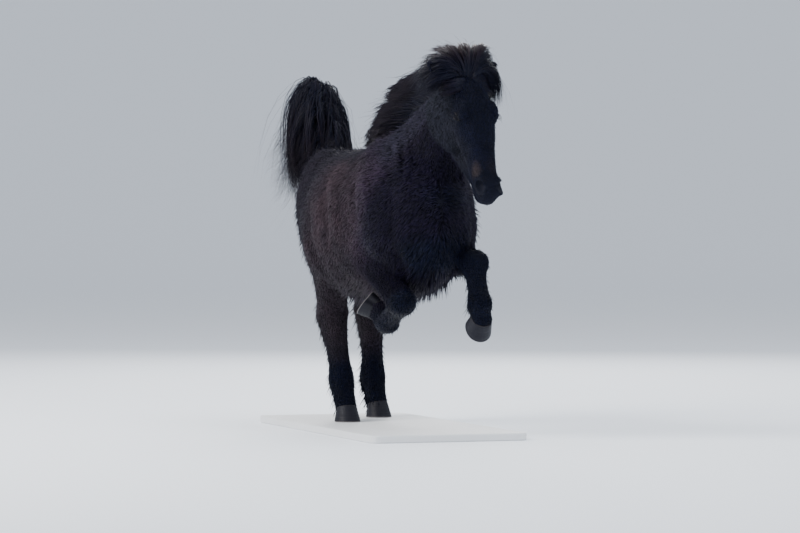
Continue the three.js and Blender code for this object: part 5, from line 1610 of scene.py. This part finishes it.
lids = {"around": 64, "aroundRim": 10, "thick": 3.4, "ride": 1.2, "lashes": 70, "lashLength": 21, "lashRide": 2.0,
        "lashWidth": 1.1, "lashSteps": 6}
wet = makeEyeMaterial()
lidSkin = makeLidMaterial()
for sideName, s in (("Left", 1), ("Right", -1)):
    makeEye("eye" + sideName, s, "eye_" + sideName.lower(), wet)
    makeLids("eyelids" + sideName, s, lidSkin)
    makeLashes("lashes" + sideName, s, 90 + s)
print("stage: eyes")

# Base, floor and light.
board = makeBoardMaterial()
for slotOfNode in nodes["stand_base"].material_slots:
    slotOfNode.material = board


floorSizes = {"flat": 30.0, "curve": 12.0, "around": 96}


def makeFloor():
    # A pale floor that curves up into a wall far away on every side.
    flat, curve = floorSizes["flat"], floorSizes["curve"]
    profile = [(r, 0) for r in (0.5, 3, 10, 20, flat)]
    profile += [(flat + curve * math.sin(a), curve * (1 - math.cos(a))) for a in np.linspace(0.06, math.pi / 2, 28)]
    n = floorSizes["around"]
    turns = [2 * math.pi * i / n for i in range(n)]
    points = [(r * math.cos(a), r * math.sin(a), z) for r, z in profile for a in turns] + [(0, 0, 0)]
    faces = ringFaces(len(profile), n)
    tris = [(a, c, b) for a, b, c, d in faces] + [(a, d, c) for a, b, c, d in faces]
    tris += [(len(points) - 1, i, (i + 1) % n) for i in range(n)]
    floor = meshFrom("floor", points, np.array(tris))
    material, tree, shader, place = newMaterial("paleFloor", 0.9, Specular_IOR_Level=0.1)
    shader.inputs["Base Color"].default_value = (0.92, 0.95, 0.99, 1)
    floor.data.materials.append(material)


lights = {
    "keyLight": {"place": (-7.5, -0.5, 6), "aim": (0, 0.2, 1), "size": 4.5, "power": 980, "colour": (1.0, 0.98, 0.96)},
    "skyLight": {"place": (1.0, 0.5, 7.5), "aim": (0, 0, 0.8), "size": 6.0, "power": 420, "colour": (0.9, 0.95, 1.0)},
    "fillLight": {"place": (2.5, -9, 3.6), "aim": (0, 0, 0.9), "size": 5.0, "power": 240, "colour": (0.9, 0.94, 1.0)},
    "backLight": {"place": (3.0, 6.5, 4.5), "aim": (0, 0, 1.2), "size": 3.5, "power": 300, "colour": (1, 1, 1)},
}
skyLook = {"colour": (0.86, 0.91, 1.0, 1), "strength": 0.8}


def addLight(name, look):
    data = bpy.data.lights.new(name, "AREA")
    data.shape, data.size, data.energy, data.color = "SQUARE", look["size"], look["power"], look["colour"]
    lamp = bpy.data.objects.new(name, data)
    bpy.context.scene.collection.objects.link(lamp)
    lamp.location = look["place"]
    lamp.rotation_euler = (Vector(look["aim"]) - Vector(look["place"])).to_track_quat("-Z", "Y").to_euler()


makeFloor()
for name, look in lights.items():
    addLight(name, look)
world = bpy.data.worlds.new("studioSky")
world.use_nodes = True
world.node_tree.nodes["Background"].inputs["Color"].default_value = skyLook["colour"]
world.node_tree.nodes["Background"].inputs["Strength"].default_value = skyLook["strength"]
bpy.context.scene.world = world
print("stage: floor and light")

print("stage: done")
